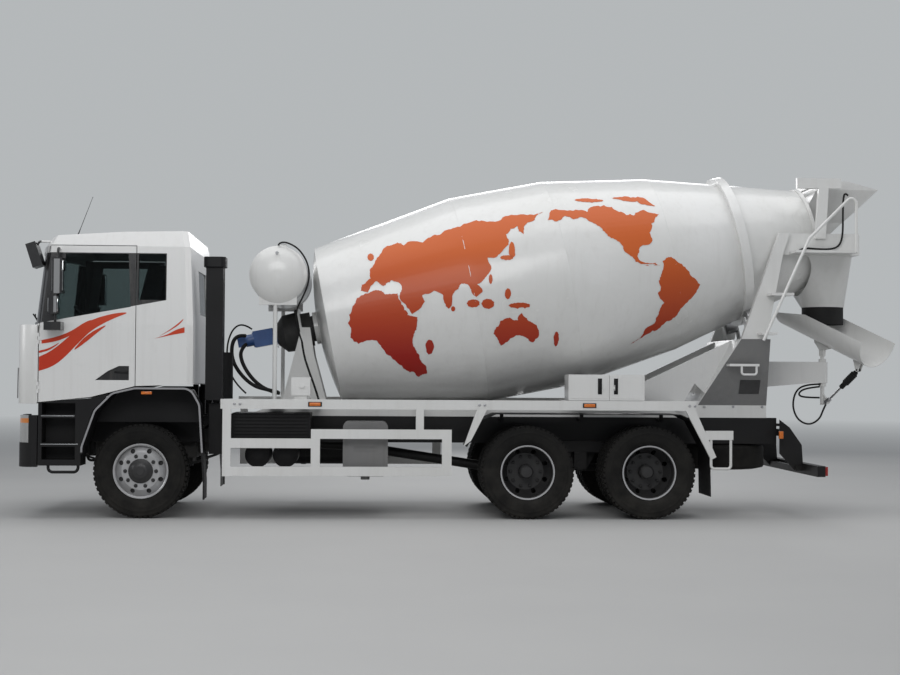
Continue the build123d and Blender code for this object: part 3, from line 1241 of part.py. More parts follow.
# Doors: cut out of the cab's own wall, each with its window and its mirrors
for name, side in (("left", 1), ("right", -1)):
    with BuildPart() as door:
        side_opening(door_outline, side, door_in, 1300, mode=Mode.ADD)
        add(cab_outer, mode=Mode.INTERSECT)
        add(cab_inner, mode=Mode.SUBTRACT)
        side_opening(door_window, side, 1100, 1300)
        side_opening([(fa + 484, 1502), (fa + 121, 1502), (fa + 121, 1656), (fa + 230, 1656), (fa + 350,
                                                                                               1600)],
                     side, 1222, 1300)
        for z in door_hinge_z:
            y = side * door_hinge_y
            rod((door_hinge_x, y, z - 62), (door_hinge_x, y, z + 62), 13, mode=Mode.SUBTRACT)
            rod((door_hinge_x, y, z - 19.7), (door_hinge_x, y, z + 19.7), hinge_barrel)
            block((door_hinge_x - 20, door_hinge_x), (y - 6, y + 6), (z - 19.7, z + 19.7))
            rod((door_hinge_x, y, z - 30), (door_hinge_x, y, z + 30), hinge_pin + running_gap,
                mode=Mode.SUBTRACT)
        for x, z in (((fa + 811, fa + 917), (2430, 2814)), ((fa + 867, fa + 952), (2209, 2400)),
                     ((fa + 820, fa + 1000), (2035, 2125))):
            block(x, (side * 1262, side * 1450), z)
        bent_bar([(fa + 880, side * 1205, 2925), (fa + 880, side * 1310, 2925), (fa + 905, side * 1310, 2120),
                  (fa + 905, side * 1225, 2085)], 30, 14)
    save(door.part, f"door_{name}")
    with BuildPart() as pane:
        side_opening(door_window, side, 1100, 1300, seat_gap, Mode.ADD)
        add(cab_glass_outer, mode=Mode.INTERSECT)
        add(cab_glass_inner, mode=Mode.SUBTRACT)
    save(pane.part, f"door_window_{name}")
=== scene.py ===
import math

import bmesh
import bpy
from mathutils import Matrix, Vector, noise


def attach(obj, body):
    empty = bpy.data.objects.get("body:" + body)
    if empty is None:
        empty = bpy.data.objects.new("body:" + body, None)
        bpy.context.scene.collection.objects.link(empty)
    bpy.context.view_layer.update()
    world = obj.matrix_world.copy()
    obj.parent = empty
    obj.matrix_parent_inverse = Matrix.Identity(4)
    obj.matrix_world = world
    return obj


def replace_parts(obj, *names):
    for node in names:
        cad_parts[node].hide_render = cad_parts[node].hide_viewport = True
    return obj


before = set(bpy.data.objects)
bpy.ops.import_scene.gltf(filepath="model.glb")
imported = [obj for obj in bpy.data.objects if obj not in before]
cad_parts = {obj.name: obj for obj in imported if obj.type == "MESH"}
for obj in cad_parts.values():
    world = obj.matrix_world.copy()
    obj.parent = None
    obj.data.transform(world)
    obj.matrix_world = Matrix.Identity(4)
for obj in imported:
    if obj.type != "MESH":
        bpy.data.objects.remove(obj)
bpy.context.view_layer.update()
print("frame loaded:", len(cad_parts), "nodes")

axleX = 3.5967  # the front axle, forward of the frame's middle: every x below is measured from it
wheelZ = 0.512
frontTrack = 1.011  # from the truck's middle to a front wheel's
rearAxles = (-4.230, -5.580)
twinMiddle = 0.915  # between the two tyres of a rear pair
twinTyres = (0.740, 1.090)
railFace = 1.245  # the deck rail's outer face, and its bolts' and markers' height
railBoltZ = 1.252
drumTilt = math.radians(11)
drumAxis = Vector((-math.cos(drumTilt), 0, math.sin(drumTilt)))
sides = (("Left", 1), ("Right", -1))


def at(x, y, z):
    return Vector((axleX + x, y, z))


# Picking and editing
def pickOnly(*objs):
    bpy.ops.object.select_all(action="DESELECT")
    for obj in objs:
        obj.select_set(True)
    bpy.context.view_layer.objects.active = objs[0]


def settle(obj):  # its place goes into the mesh
    pickOnly(obj)
    bpy.ops.object.transform_apply(location=True, rotation=True, scale=True)
    return obj


def openEdit(obj, kind="FACE"):
    pickOnly(obj)
    bpy.ops.object.mode_set(mode="EDIT")
    bpy.ops.mesh.select_mode(type=kind)


def closeEdit():
    bpy.ops.object.mode_set(mode="OBJECT")


def pickFaces(test):  # test gets a face's middle and its normal
    bpy.ops.mesh.select_all(action="DESELECT")
    mesh = bmesh.from_edit_mesh(bpy.context.object.data)
    for face in mesh.faces:
        face.select_set(bool(test(face.calc_center_median(), face.normal)))
    mesh.select_flush_mode()
    bmesh.update_edit_mesh(bpy.context.object.data)


def outward(obj):
    openEdit(obj)
    bpy.ops.mesh.select_all(action="SELECT")
    bpy.ops.mesh.remove_doubles(threshold=0.00005)
    bpy.ops.mesh.normals_make_consistent(inside=False)
    closeEdit()
    return obj


def applied(obj, kind, **values):  # one modifier, set and applied
    pickOnly(obj)
    change = obj.modifiers.new("change", kind)
    for name, value in values.items():
        setattr(change, name, value)
    bpy.ops.object.modifier_apply(modifier=change.name)
    return obj


def rounded(obj, width):
    return applied(obj, "BEVEL", width=width, segments=2, limit_method="ANGLE", angle_limit=math.radians(35))


def raised(obj, way, inset, rise, lean=0.9):  # insets the faces that look one way, and moves them along it
    way = Vector(way)
    openEdit(obj)
    pickFaces(lambda middle, normal: normal.dot(way) > lean)
    bpy.ops.mesh.inset(thickness=inset)
    bpy.ops.transform.translate(value=tuple(way * rise))
    closeEdit()
    return obj


def addBlock(centre, size, turn=(0, 0, 0), edge=0.0):
    bpy.ops.object.select_all(action="DESELECT")
    bpy.ops.mesh.primitive_cube_add(size=1, location=centre, rotation=turn)
    obj = bpy.context.object
    obj.scale = size
    settle(obj)
    return rounded(obj, edge) if edge else obj


def standing(centre, axis=(0, 0, 1)):  # turns local up to an axis, at a place
    return Matrix.Translation(centre) @ Vector(axis).to_track_quat("Z", "Y").to_matrix().to_4x4()


def addTurned(rings, place, steps=32, solid=True):
    # rings are (height, radius) steps, pulled one from the last as on a lathe
    bpy.ops.object.select_all(action="DESELECT")
    bpy.ops.mesh.primitive_circle_add(vertices=steps, radius=rings[0][1], location=(0, 0, rings[0][0]),
                                      fill_type="NGON" if solid else "NOTHING")
    obj = settle(bpy.context.object)
    openEdit(obj, "FACE" if solid else "EDGE")
    bpy.ops.mesh.select_all(action="SELECT")
    for (lastHeight, lastRadius), (height, radius) in zip(rings, rings[1:]):
        step = {"value": (0, 0, height - lastHeight)}
        if solid:
            bpy.ops.mesh.extrude_region_move(TRANSFORM_OT_translate=step)
        else:
            bpy.ops.mesh.extrude_edges_move(TRANSFORM_OT_translate=step)
        grow = radius / lastRadius
        bpy.ops.transform.resize(value=(grow, grow, 1), center_override=(0, 0, height))
    closeEdit()
    outward(obj)
    obj.matrix_world = place
    return settle(obj)


def twinOf(pattern, place):
    twin = pattern.copy()
    twin.data = pattern.data.copy()
    bpy.context.collection.objects.link(twin)
    twin.data.transform(place)
    return twin


def copied(pattern, places, keep=False):  # one piece from a pattern at many places, each with its own mesh
    twins = [twinOf(pattern, place) for place in places]
    if not keep:
        bpy.data.objects.remove(pattern)
    return joined(twins)


def joined(objs):
    if len(objs) > 1:
        pickOnly(*objs)
        bpy.ops.object.join()
    return objs[0]


def mirroredCopy(obj):  # a second one on the other side of the truck, its faces turned outwards again
    twin = twinOf(obj, Matrix.Scale(-1, 4, (0, 1, 0)))
    twin.data.flip_normals()
    return twin


def bothSides(obj):
    return joined([obj, mirroredCopy(obj)])


def addCurve(points, flat, smooth, **values):  # a closed flat shape or a line in space, as a mesh
    line = bpy.data.curves.new("line", "CURVE")
    line.dimensions = "2D" if flat else "3D"
    for name, value in values.items():
        setattr(line, name, value)
    spline = line.splines.new("NURBS" if smooth else "POLY")
    spline.points.add(len(points) - 1)
    for point, place in zip(spline.points, points):
        point.co = (*place, 1)
    spline.use_cyclic_u = flat
    if smooth:
        spline.order_u = 3
        spline.use_endpoint_u = not flat
        spline.resolution_u = 6 if flat else 8
    obj = bpy.data.objects.new("line", line)
    bpy.context.collection.objects.link(obj)
    pickOnly(obj)
    bpy.ops.object.convert(target="MESH")
    return bpy.context.object


def addTube(points, radius, rounds=3):  # a hose, pipe or bar along a line of points
    return outward(addCurve(points, False, True, bevel_depth=radius, bevel_resolution=rounds,
                            use_fill_caps=True))


def addOutline(points, smooth=False):
    # a flat shape from its outline in (across, up), standing up and facing the left of the truck
    obj = addCurve([(across, up, 0) for across, up in points], True, smooth, fill_mode="BOTH")
    obj.matrix_world = Matrix.Translation((axleX, 0, 0)) @ Matrix.Rotation(math.radians(90), 4, "X")
    return settle(obj)


def addPlan(points, low, high):  # a solid from its outline seen from above
    obj = addCurve([(axleX + x, y, 0) for x, y in points], True, False, fill_mode="BOTH",
                   extrude=(high - low) / 2)
    obj.location.z = (low + high) / 2
    return outward(settle(obj))


# Finishes
def put(tree, socket, value):
    if isinstance(value, bpy.types.NodeSocket):
        tree.links.new(value, socket)
    elif isinstance(value, tuple) and len(value) == 3 and socket.type == "RGBA":
        socket.default_value = (*value, 1)
    else:
        socket.default_value = value


def fill(tree, node, values):  # sets or links its inputs, by name or number
    for name, value in values.items():
        put(tree, node.inputs[name], value)


def addNode(tree, kind, values={}, **settings):
    node = tree.nodes.new("ShaderNode" + kind)
    for name, value in settings.items():
        setattr(node, name, value)
    fill(tree, node, values)
    return node


def maths(tree, operation, *values, clamp=False):
    return addNode(tree, "Math", dict(enumerate(values)), operation=operation, use_clamp=clamp).outputs[0]


def mixed(tree, factor, first, second):
    values = {"Factor": factor, "A": first, "B": second}
    return addNode(tree, "Mix", values, data_type="RGBA").outputs["Result"]


def mapped(tree, value, fromLow, fromHigh, toLow, toHigh):
    return addNode(tree, "MapRange", {"Value": value, "From Min": fromLow, "From Max": fromHigh,
                                      "To Min": toLow, "To Max": toHigh}).outputs[0]


def noiseOf(tree, vector, scale, detail=3.0, rough=0.55):
    return addNode(tree, "TexNoise", {"Vector": vector, "Scale": scale, "Detail": detail,
                                      "Roughness": rough}).outputs[0]


def lengthOf(tree, vector):
    return addNode(tree, "VectorMath", {0: vector}, operation="LENGTH").outputs["Value"]


def reachOf(tree, across, up, middle):  # how far two coordinates lie from a middle
    flat = addNode(tree, "CombineXYZ", {0: maths(tree, "SUBTRACT", across, middle[0]),
                                        1: maths(tree, "SUBTRACT", up, middle[1])})
    return lengthOf(tree, flat.outputs[0])


def makeGroup(name, inputs, outputs):
    group = bpy.data.node_groups.new(name, "ShaderNodeTree")
    for label, kind, value in inputs:
        socket = group.interface.new_socket(name=label, in_out="INPUT", socket_type=kind)
        if value is not None:
            socket.default_value = value
    for label, kind in outputs:
        group.interface.new_socket(name=label, in_out="OUTPUT", socket_type=kind)
    return group, group.nodes.new("NodeGroupInput"), group.nodes.new("NodeGroupOutput")


# Weather: slow patches, fine grain, and road dust that thins out upwards
weather, weatherIn, weatherOut = makeGroup(
    "weather",
    [("Place", "NodeSocketVector", None), ("Patch Scale", "NodeSocketFloat", 1.5),
     ("Grain Scale", "NodeSocketFloat", 120.0), ("Dust Height", "NodeSocketFloat", 1.2)],
    [("Patches", "NodeSocketFloat"), ("Grain", "NodeSocketFloat"), ("Dust", "NodeSocketFloat")])
patches = noiseOf(weather, weatherIn.outputs["Place"], weatherIn.outputs["Patch Scale"], 4.0, 0.6)
grain = noiseOf(weather, weatherIn.outputs["Place"], weatherIn.outputs["Grain Scale"], 2.0, 0.5)
parts = addNode(weather, "SeparateXYZ", {0: weatherIn.outputs["Place"]})
fall = maths(weather, "SUBTRACT", 1.0, maths(weather, "DIVIDE", parts.outputs["Z"],
                                             weatherIn.outputs["Dust Height"]), clamp=True)
cloud = mapped(weather, patches, 0.35, 0.7, 0.25, 1.0)
fill(weather, weatherOut, {"Patches": mapped(weather, patches, 0.3, 0.7, 0.0, 1.0), "Grain": grain,
                           "Dust": maths(weather, "MULTIPLY", fall, cloud)})

# Streaks: thin vertical run marks, as rain leaves on paint
streaks, streaksIn, streaksOut = makeGroup(
    "streaks", [("Place", "NodeSocketVector", None)], [("Mask", "NodeSocketFloat")])
squeeze = addNode(streaks, "Mapping", {"Scale": (14, 14, 0.7), "Vector": streaksIn.outputs["Place"]})
run = noiseOf(streaks, squeeze.outputs[0], 1.0, 3.0, 0.65)
fill(streaks, streaksOut, {"Mask": mapped(streaks, run, 0.5, 0.78, 0.0, 1.0)})

dustTone = (0.33, 0.30, 0.26)
finishes = {}
finishColumns = ("tone", "shade", "patch", "grain", "rough", "bump",
                 "coat", "dust", "streak", "metal", "gloss")
finishRows = {
    "whitePaint": (
        (0.74, 0.74, 0.73), (0.67, 0.67, 0.65), 1.1, 260, (0.24, 0.36), 0.0002, 0.35, 0.1, 0.1, 0, 0.5),
    "greyPaint": (
        (0.2, 0.2, 0.2), (0.15, 0.15, 0.15), 2.0, 220, (0.32, 0.5), 0.0003, 0.2, 0.15, 0.12, 0, 0.5),
    "framePaint": (
        (0.01, 0.01, 0.011), (0.006, 0.006, 0.0065), 3.0, 160, (0.42, 0.62), 0.0005, 0.1, 0.07, 0, 0, 0.22),
    "darkPlastic": (
        (0.009, 0.009, 0.01), (0.006, 0.006, 0.0065), 2.5, 420, (0.42, 0.58), 0.0004, 0, 0.04, 0, 0, 0.25),
    "rubber": ((0.012, 0.012, 0.012), (0.02, 0.02, 0.02), 5.0, 300, (0.6, 0.75), 0.0006, 0, 0.1, 0, 0, 0.2),
    "tyreRubber": (
        (0.007, 0.007, 0.007), (0.011, 0.011, 0.0105), 6.0, 180, (0.62, 0.82), 0.0012, 0, 0.07, 0, 0, 0.12),
    "rimPaint": (
        (0.52, 0.52, 0.53), (0.42, 0.42, 0.42), 5.0, 200, (0.28, 0.42), 0.0003, 0.2, 0.12, 0, 0.55, 0.5),
    "darkRim": (
        (0.022, 0.022, 0.023), (0.014, 0.014, 0.015), 6.0, 180, (0.4, 0.55), 0.0004, 0.1, 0.06, 0, 0, 0.5),
    "greyPlate": (
        (0.045, 0.045, 0.047), (0.03, 0.03, 0.031), 12.0, 300, (0.3, 0.45), 0.0002, 0.1, 0, 0, 0, 0.5),
    "steel": ((0.62, 0.62, 0.63), (0.48, 0.48, 0.49), 9.0, 500, (0.2, 0.36), 0.0001, 0, 0.08, 0, 1.0, 0.5),
    "cast": ((0.055, 0.054, 0.053), (0.03, 0.03, 0.03), 7.0, 90, (0.55, 0.78), 0.0015, 0, 0.12, 0, 0, 0.3),
    "bluePaint": ((0.03, 0.1, 0.3), (0.02, 0.06, 0.2), 6.0, 140, (0.35, 0.5), 0.0006, 0.3, 0.1, 0, 0, 0.5),
    "interior": ((0.075, 0.075, 0.08), (0.05, 0.05, 0.055), 8.0, 600, (0.6, 0.8), 0.0005, 0, 0, 0, 0, 0.25),
    "fabric": ((0.06, 0.062, 0.068), (0.035, 0.036, 0.04), 14.0, 900, (0.8, 0.95), 0.0008, 0, 0, 0, 0, 0.2),
    "silver": (
        (0.42, 0.43, 0.44), (0.34, 0.35, 0.36), 4.0, 500, (0.25, 0.35), 0.0001, 0.2, 0.05, 0, 0.4, 0.5),
    "mirrorGlass": (
        (0.8, 0.82, 0.82), (0.74, 0.76, 0.77), 3.0, 300, (0.02, 0.06), 0.00002, 0, 0.02, 0, 1.0, 0.5),
    "amber": ((0.75, 0.2, 0.02), (0.55, 0.11, 0.01), 30.0, 260, (0.12, 0.22), 0.0008, 0.5, 0.03, 0, 0, 0.5),
    "redLens": (
        (0.55, 0.02, 0.01), (0.35, 0.01, 0.01), 30.0, 260, (0.12, 0.22), 0.0008, 0.5, 0.05, 0, 0, 0.5),
}
finishTable = {name: dict(zip(finishColumns, row)) for name, row in finishRows.items()}


def startFinish(name):
    material = bpy.data.materials.new(name)
    material.use_nodes = True
    finishes[name] = material
    tree = material.node_tree
    tree.nodes.clear()
    shader = addNode(tree, "BsdfPrincipled")
    addNode(tree, "OutputMaterial", {"Surface": shader.outputs[0]})
    return tree, shader, addNode(tree, "TexCoord").outputs["Object"]


def weathered(tree, shader, place, values, tone):
    # lays patches, streaks, dust and grain over a tone that may itself vary
    surface = {"Place": place, "Patch Scale": values["patch"], "Grain Scale": values["grain"]}
    worn = addNode(tree, "Group", surface, node_tree=weather).outputs
    if tone is values["tone"]:
        tone = mixed(tree, maths(tree, "MULTIPLY", worn["Patches"], 0.8), tone, values["shade"])
    if values["streak"]:
        runs = addNode(tree, "Group", {"Place": place}, node_tree=streaks).outputs
        tone = mixed(tree, maths(tree, "MULTIPLY", runs["Mask"], values["streak"]), tone, dustTone)
    if values["dust"]:
        tone = mixed(tree, maths(tree, "MULTIPLY", worn["Dust"], values["dust"]), tone, dustTone)
    spread = maths(tree, "ADD", maths(tree, "MULTIPLY", worn["Patches"], 0.6),
                   maths(tree, "MULTIPLY", worn["Grain"], 0.4))
    bump = addNode(tree, "Bump", {"Strength": 1.0, "Distance": values["bump"], "Height": worn["Grain"]})
    fill(tree, shader, {
        "Base Color": tone, "Roughness": mapped(tree, spread, 0.1, 0.9, *values["rough"]),
        "Metallic": values["metal"], "Specular IOR Level": values["gloss"],
        "Coat Weight": values["coat"], "Coat Roughness": 0.12, "Normal": bump.outputs[0]})


for name, values in finishTable.items():
    weathered(*startFinish(name), values, values["tone"])


def insideBox(tree, cut, x=None, y=None, z=None):
    # 1 inside a box of limits; cut holds the X, absolute Y and Z of the point
    mask = None
    for socket, limits in zip(cut, (x, y, z)):
        if limits is None:
            continue
        low, high = limits
        for operation, value in (("GREATER_THAN", low), ("LESS_THAN", high)):
            if value is None:
                continue
            step = maths(tree, operation, socket, value)
            mask = step if mask is None else maths(tree, "MULTIPLY", mask, step)
    return mask


def anyOf(tree, *masks):
    total = masks[0]
    for mask in masks[1:]:
        total = maths(tree, "MAXIMUM", total, mask)
    return total


def cutPlace(tree, place):  # X from the front axle, absolute Y, Z, and Y
    parts = addNode(tree, "SeparateXYZ", {0: place})
    x = maths(tree, "SUBTRACT", parts.outputs["X"], axleX)
    return x, maths(tree, "ABSOLUTE", parts.outputs["Y"]), parts.outputs["Z"], parts.outputs["Y"]


def leaning(tree, value, start, foot, slope):  # a limit that moves by a slope times the height over its foot
    rise = maths(tree, "MULTIPLY", maths(tree, "SUBTRACT", value, foot), slope)
    return maths(tree, "ADD", start, rise)


white = finishTable["whitePaint"]

# Cab paint: white, with the black window band, handle recess, mirrors and underside, and the dark inside
cabBand = {"foot": 2.149, "footX": 0.92, "rise": 0.19, "top": 2.886, "back": -0.272}
tree, shader, place = startFinish("cabPaint")
cut = cutPlace(tree, place)
foot = maths(tree, "ADD", cabBand["foot"], maths(tree, "MULTIPLY", cabBand["rise"],
             maths(tree, "SUBTRACT", cabBand["footX"], cut[0])))
foot = maths(tree, "MAXIMUM", foot, 2.1)
band = maths(tree, "MULTIPLY", maths(tree, "GREATER_THAN", cut[2], foot),
             insideBox(tree, cut, x=(cabBand["back"], None), z=(None, cabBand["top"])))
recess = insideBox(tree, cut, x=(0.113, 0.494), y=(1.0, 1.2355), z=(1.493, 1.668))
arms = insideBox(tree, cut, y=(1.2605, None))
nose = insideBox(tree, (cut[0], cut[3], cut[2]), x=(1.098, None), y=(0.985, None), z=(2.70, None))
under = insideBox(tree, cut, y=(None, 0.62), z=(None, 1.47))
lowered = insideBox(tree, cut, z=(None, 1.2385))
lining = anyOf(tree, insideBox(tree, cut, x=(-0.46, 1.02), y=(None, 1.206), z=(1.34, 2.5)),
               insideBox(tree, cut, x=(-0.45, 1.0), y=(None, 1.19), z=(2.49, 2.955)),
               insideBox(tree, cut, x=(-0.4, 0.9), y=(None, 1.09), z=(2.9, 3.06)))
black = anyOf(tree, band, recess, arms, nose, under, lowered)
tone = mixed(tree, black, white["tone"], (0.012, 0.012, 0.013))
tone = mixed(tree, lining, tone, (0.10, 0.10, 0.105))
housing = insideBox(tree, cut, x=(0.836, 0.898), y=(1.33, None), z=(2.225, 2.80))
tone = mixed(tree, housing, tone, (0.26, 0.265, 0.27))
weathered(tree, shader, place, white, tone)

# Pedestal paint: white, with the casing's leaning face darkened to grey as painted shade
tree, shader, place = startFinish("pedestalPaintAndShade")
cut = cutPlace(tree, place)
backEdge = leaning(tree, cut[2], -7.21, 1.252, 0.03)
frontEdge = leaning(tree, cut[2], -6.29, 1.252, -0.541)
face = leaning(tree, cut[2], 0.444, 1.255, 0.53)
# painted shade: the casing's leaning face is white paint, darkened here to grey
casing = maths(tree, "MULTIPLY", maths(tree, "LESS_THAN", cut[0], frontEdge),
               maths(tree, "MULTIPLY", maths(tree, "GREATER_THAN", cut[0], backEdge),
                     insideBox(tree, cut, z=(1.245, 2.02))))
casing = maths(tree, "MULTIPLY", casing, maths(tree, "LESS_THAN", cut[1], face))
weathered(tree, shader, place, white, mixed(tree, casing, white["tone"], finishTable["greyPaint"]["tone"]))

# Rear rims: dark dish, bright rim edge
tree, shader, place = startFinish("rearRim")
cut = cutPlace(tree, place)
reaches = [reachOf(tree, cut[0], cut[2], (axle, wheelZ)) for axle in rearAxles]
bright = maths(tree, "GREATER_THAN", maths(tree, "MINIMUM", *reaches), 0.284)
weathered(tree, shader, place, finishTable["darkRim"],
          mixed(tree, bright, finishTable["darkRim"]["tone"], (0.42, 0.42, 0.43)))

# Mudguard plastic: black, its outer lip painted pale as a painted highlight
tree, shader, place = startFinish("guardPlastic")
cut = cutPlace(tree, place)
lipHighlight = insideBox(tree, cut, x=(-2, 2), y=(1.2385, None), z=(0.72, None))
weathered(tree, shader, place, finishTable["darkPlastic"],
          mixed(tree, lipHighlight, finishTable["darkPlastic"]["tone"], (0.30, 0.30, 0.31)))

# Drum paint: white over rolled plates, with faint waves from welding
tree, shader, place = startFinish("drumPaint")
weathered(tree, shader, place, {**white, "patch": 0.9, "grain": 5.0, "bump": 0.006,
                                "rough": (0.2, 0.3)}, white["tone"])

# Film on the drum and cab: deep red below, orange above
filmTones = {"drumFilm": ((0.34, 0.012, 0.006), (0.58, 0.12, 0.025), 1.8, 3.0),
             "cabFilm": ((0.52, 0.035, 0.01), (0.56, 0.055, 0.015), 1.7, 2.2)}
for name, (low, high, lowZ, highZ) in filmTones.items():
    tree, shader, place = startFinish(name)
    cut = cutPlace(tree, place)
    fade = mapped(tree, cut[2], lowZ, highZ, 0.0, 1.0)
    weathered(tree, shader, place, {**white, "rough": (0.34, 0.46), "streak": 0.0,
                                    "coat": 0.1, "gloss": 0.3}, mixed(tree, fade, low, high))

# Glass: thin tint, faint dust
tree, shader, place = startFinish("glass")
fill(tree, shader, {
    "Base Color": mixed(tree, noiseOf(tree, place, 2.0), (0.30, 0.35, 0.35), (0.25, 0.30, 0.30)),
    "Roughness": mapped(tree, noiseOf(tree, place, 6.0), 0.2, 0.9, 0.01, 0.05),
    "Transmission Weight": 1.0, "IOR": 1.2})

# Lamp lens: clear, fluted
tree, shader, place = startFinish("lampLens")
waves = addNode(tree, "TexWave", {"Scale": 22, "Vector": place}).outputs[1]
cut = cutPlace(tree, place)
clear = mixed(tree, waves, (0.50, 0.50, 0.49), (0.20, 0.20, 0.20))
reach = reachOf(tree, cut[1], cut[2], (0.965, 0.925))
for radius, tone in ((0.088, (0.03, 0.03, 0.03)), (0.078, (0.66, 0.66, 0.64)), (0.030, (0.10, 0.10, 0.10)),
                     (0.022, (0.80, 0.80, 0.76))):
    clear = mixed(tree, maths(tree, "LESS_THAN", reach, radius), clear, tone)
clear = mixed(tree, insideBox(tree, cut, x=(0, None), z=(1.035, 1.085)), clear, (0.62, 0.20, 0.03))
tone = mixed(tree, insideBox(tree, cut, x=(None, -6)), clear, (0.42, 0.015, 0.01))
bump = addNode(tree, "Bump", {"Distance": 0.003, "Height": waves})
fill(tree, shader, {
    "Base Color": tone, "Roughness": mapped(tree, noiseOf(tree, place, 9.0), 0.2, 0.9, 0.04, 0.12),
    "Coat Weight": 0.8, "Normal": bump.outputs[0]})

nodeFinish = {
    "whitePaint": ["subframe", "support_frame", "ladder", "charge_hopper", "chute_post", "chute",
                   "side_guards", "tool_box", "tool_box_door_front", "tool_box_door_rear", "water_tank",
                   "control_box"],
    "pedestalPaintAndShade": ["rear_pedestal"],
    "drumPaint": ["drum"],
    "cabPaint": ["cab_shell", "door_left", "door_right"],
    "framePaint": ["chassis_frame", "front_axle", "rear_axles", "leaf_springs", "tie_rod", "rear_bumper",
                   "fuel_tank", "propshafts", "tow_jaw"],
    "darkPlastic": ["front_bumper", "cab_steps", "air_intake", "battery_box"],
    "guardPlastic": ["mudguards"],
    "cast": ["knuckle_left", "knuckle_right", "engine", "drum_gearbox"],
    "bluePaint": ["hydraulic_motor"],
    "steel": ["drum_roller_left", "drum_roller_right", "strut_rod"],
    "greyPaint": ["silencer"],
    "rubber": ["rubber_skirt", "strut_barrel"],
    "rimPaint": ["front_rim_left", "front_rim_right"],
    "rearRim": ["rear_rims_1_left", "rear_rims_1_right", "rear_rims_2_left", "rear_rims_2_right"],
    "tyreRubber": ["front_tyre_left", "front_tyre_right", "rear_tyres_1_left", "rear_tyres_1_right",
                   "rear_tyres_2_left", "rear_tyres_2_right", "spare_wheel"],
    "glass": ["cab_windows", "door_window_left", "door_window_right"],
    "lampLens": ["lamps"],
    "interior": ["cab_interior"],
}
for finish, names in nodeFinish.items():
    for name in names:
        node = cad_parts[name]
        node.data.materials.clear()
        node.data.materials.append(finishes[finish])
print("finishes laid on", sum(len(names) for names in nodeFinish.values()), "nodes")


def finished(obj, name, body, finish, angle=35):
    obj.name = obj.data.name = name
    obj.data.materials.clear()
    obj.data.materials.append(finishes[finish])
    pickOnly(obj)
    bpy.ops.object.shade_smooth_by_angle(angle=math.radians(angle))
    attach(obj, body)
    return obj


# Camera, light and floor
view = {"place": (1.1706, 18.2324, 1.5475), "turn": 0.05507, "tip": 0.02608, "roll": 0.00603, "lens": 62.06}
cameraData = bpy.data.cameras.new("camera")
cameraData.lens = view["lens"]
cameraData.sensor_width = 36
cameraData.clip_end = 400
camera = bpy.data.objects.new("camera", cameraData)
bpy.context.collection.objects.link(camera)
camera.matrix_world = (Matrix.Translation(view["place"]) @ Matrix.Rotation(math.pi - view["turn"], 4, "Z")
                       @ Matrix.Rotation(math.pi / 2 + view["tip"], 4, "X")
                       @ Matrix.Rotation(view["roll"], 4, "Z"))
bpy.context.scene.camera = camera

lampTable = {
    # name: (place, aimed at, width, height, watts)
    "overhead": ((0, 1, 9), (0, 0, 0), 16, 7, 470),
    "leftKey": ((3, 13, 8), (0, 0, 1.5), 9, 5, 570),
    "rightFill": ((-2, -13, 7), (0, 0, 1.5), 9, 5, 420),
    "frontFill": ((14, 3, 5), (3, 0, 1.5), 5, 4, 200),
    "rearFill": ((-14, 3, 5), (-3, 0, 1.5), 5, 4, 160),
}
for name, (place, target, width, height, watts) in lampTable.items():
    data = bpy.data.lights.new(name, "AREA")
    data.shape = "RECTANGLE"
    data.size, data.size_y, data.energy = width, height, watts
    lamp = bpy.data.objects.new(name, data)
    bpy.context.collection.objects.link(lamp)
    aim = (Vector(target) - Vector(place)).to_track_quat("-Z", "Y").to_matrix().to_4x4()
    lamp.matrix_world = Matrix.Translation(place) @ aim

skyTone = (0.46, 0.48, 0.49)
world = bpy.data.worlds.new("studio")
world.use_nodes = True
bpy.context.scene.world = world
tree = world.node_tree
tree.nodes.clear()
rays = addNode(tree, "LightPath").outputs
seen = maths(tree, "MAXIMUM", rays["Is Camera Ray"], rays["Is Transmission Ray"])
shown = addNode(tree, "Background", {"Color": skyTone})
lit = addNode(tree, "Background", {"Color": (0.9, 0.94, 1.0), "Strength": 0.32})
blend = addNode(tree, "MixShader", {0: seen, 1: lit.outputs[0], 2: shown.outputs[0]})
addNode(tree, "OutputWorld", {0: blend.outputs[0]})

bpy.ops.object.select_all(action="DESELECT")
bpy.ops.mesh.primitive_circle_add(vertices=64, radius=90, fill_type="NGON", location=(0, 0, -0.002))
floor = settle(bpy.context.object)
floor.name = "floor"
material = bpy.data.materials.new("floorTone")
material.use_nodes = True
tree = material.node_tree
tree.nodes.clear()
place = addNode(tree, "TexCoord").outputs["Object"]
tone = mixed(tree, noiseOf(tree, place, 0.6), (0.50, 0.50, 0.49), (0.46, 0.46, 0.455))
matte = addNode(tree, "BsdfPrincipled", {"Base Color": tone, "Roughness": 0.7})
far = addNode(tree, "Emission", {"Color": skyTone})
fade = mapped(tree, lengthOf(tree, place), 11, 45, 0, 1)
blend = addNode(tree, "MixShader", {0: fade, 1: matte.outputs[0], 2: far.outputs[0]})
addNode(tree, "OutputMaterial", {"Surface": blend.outputs[0]})
floor.data.materials.append(material)
bpy.context.scene.view_settings.view_transform = "Standard"
print("camera, light and floor set")

# Tyres: ribbed carcass, tread lugs and sidewall rings
tyre = {"radius": 0.512, "groove": 0.014, "lugs": 54}


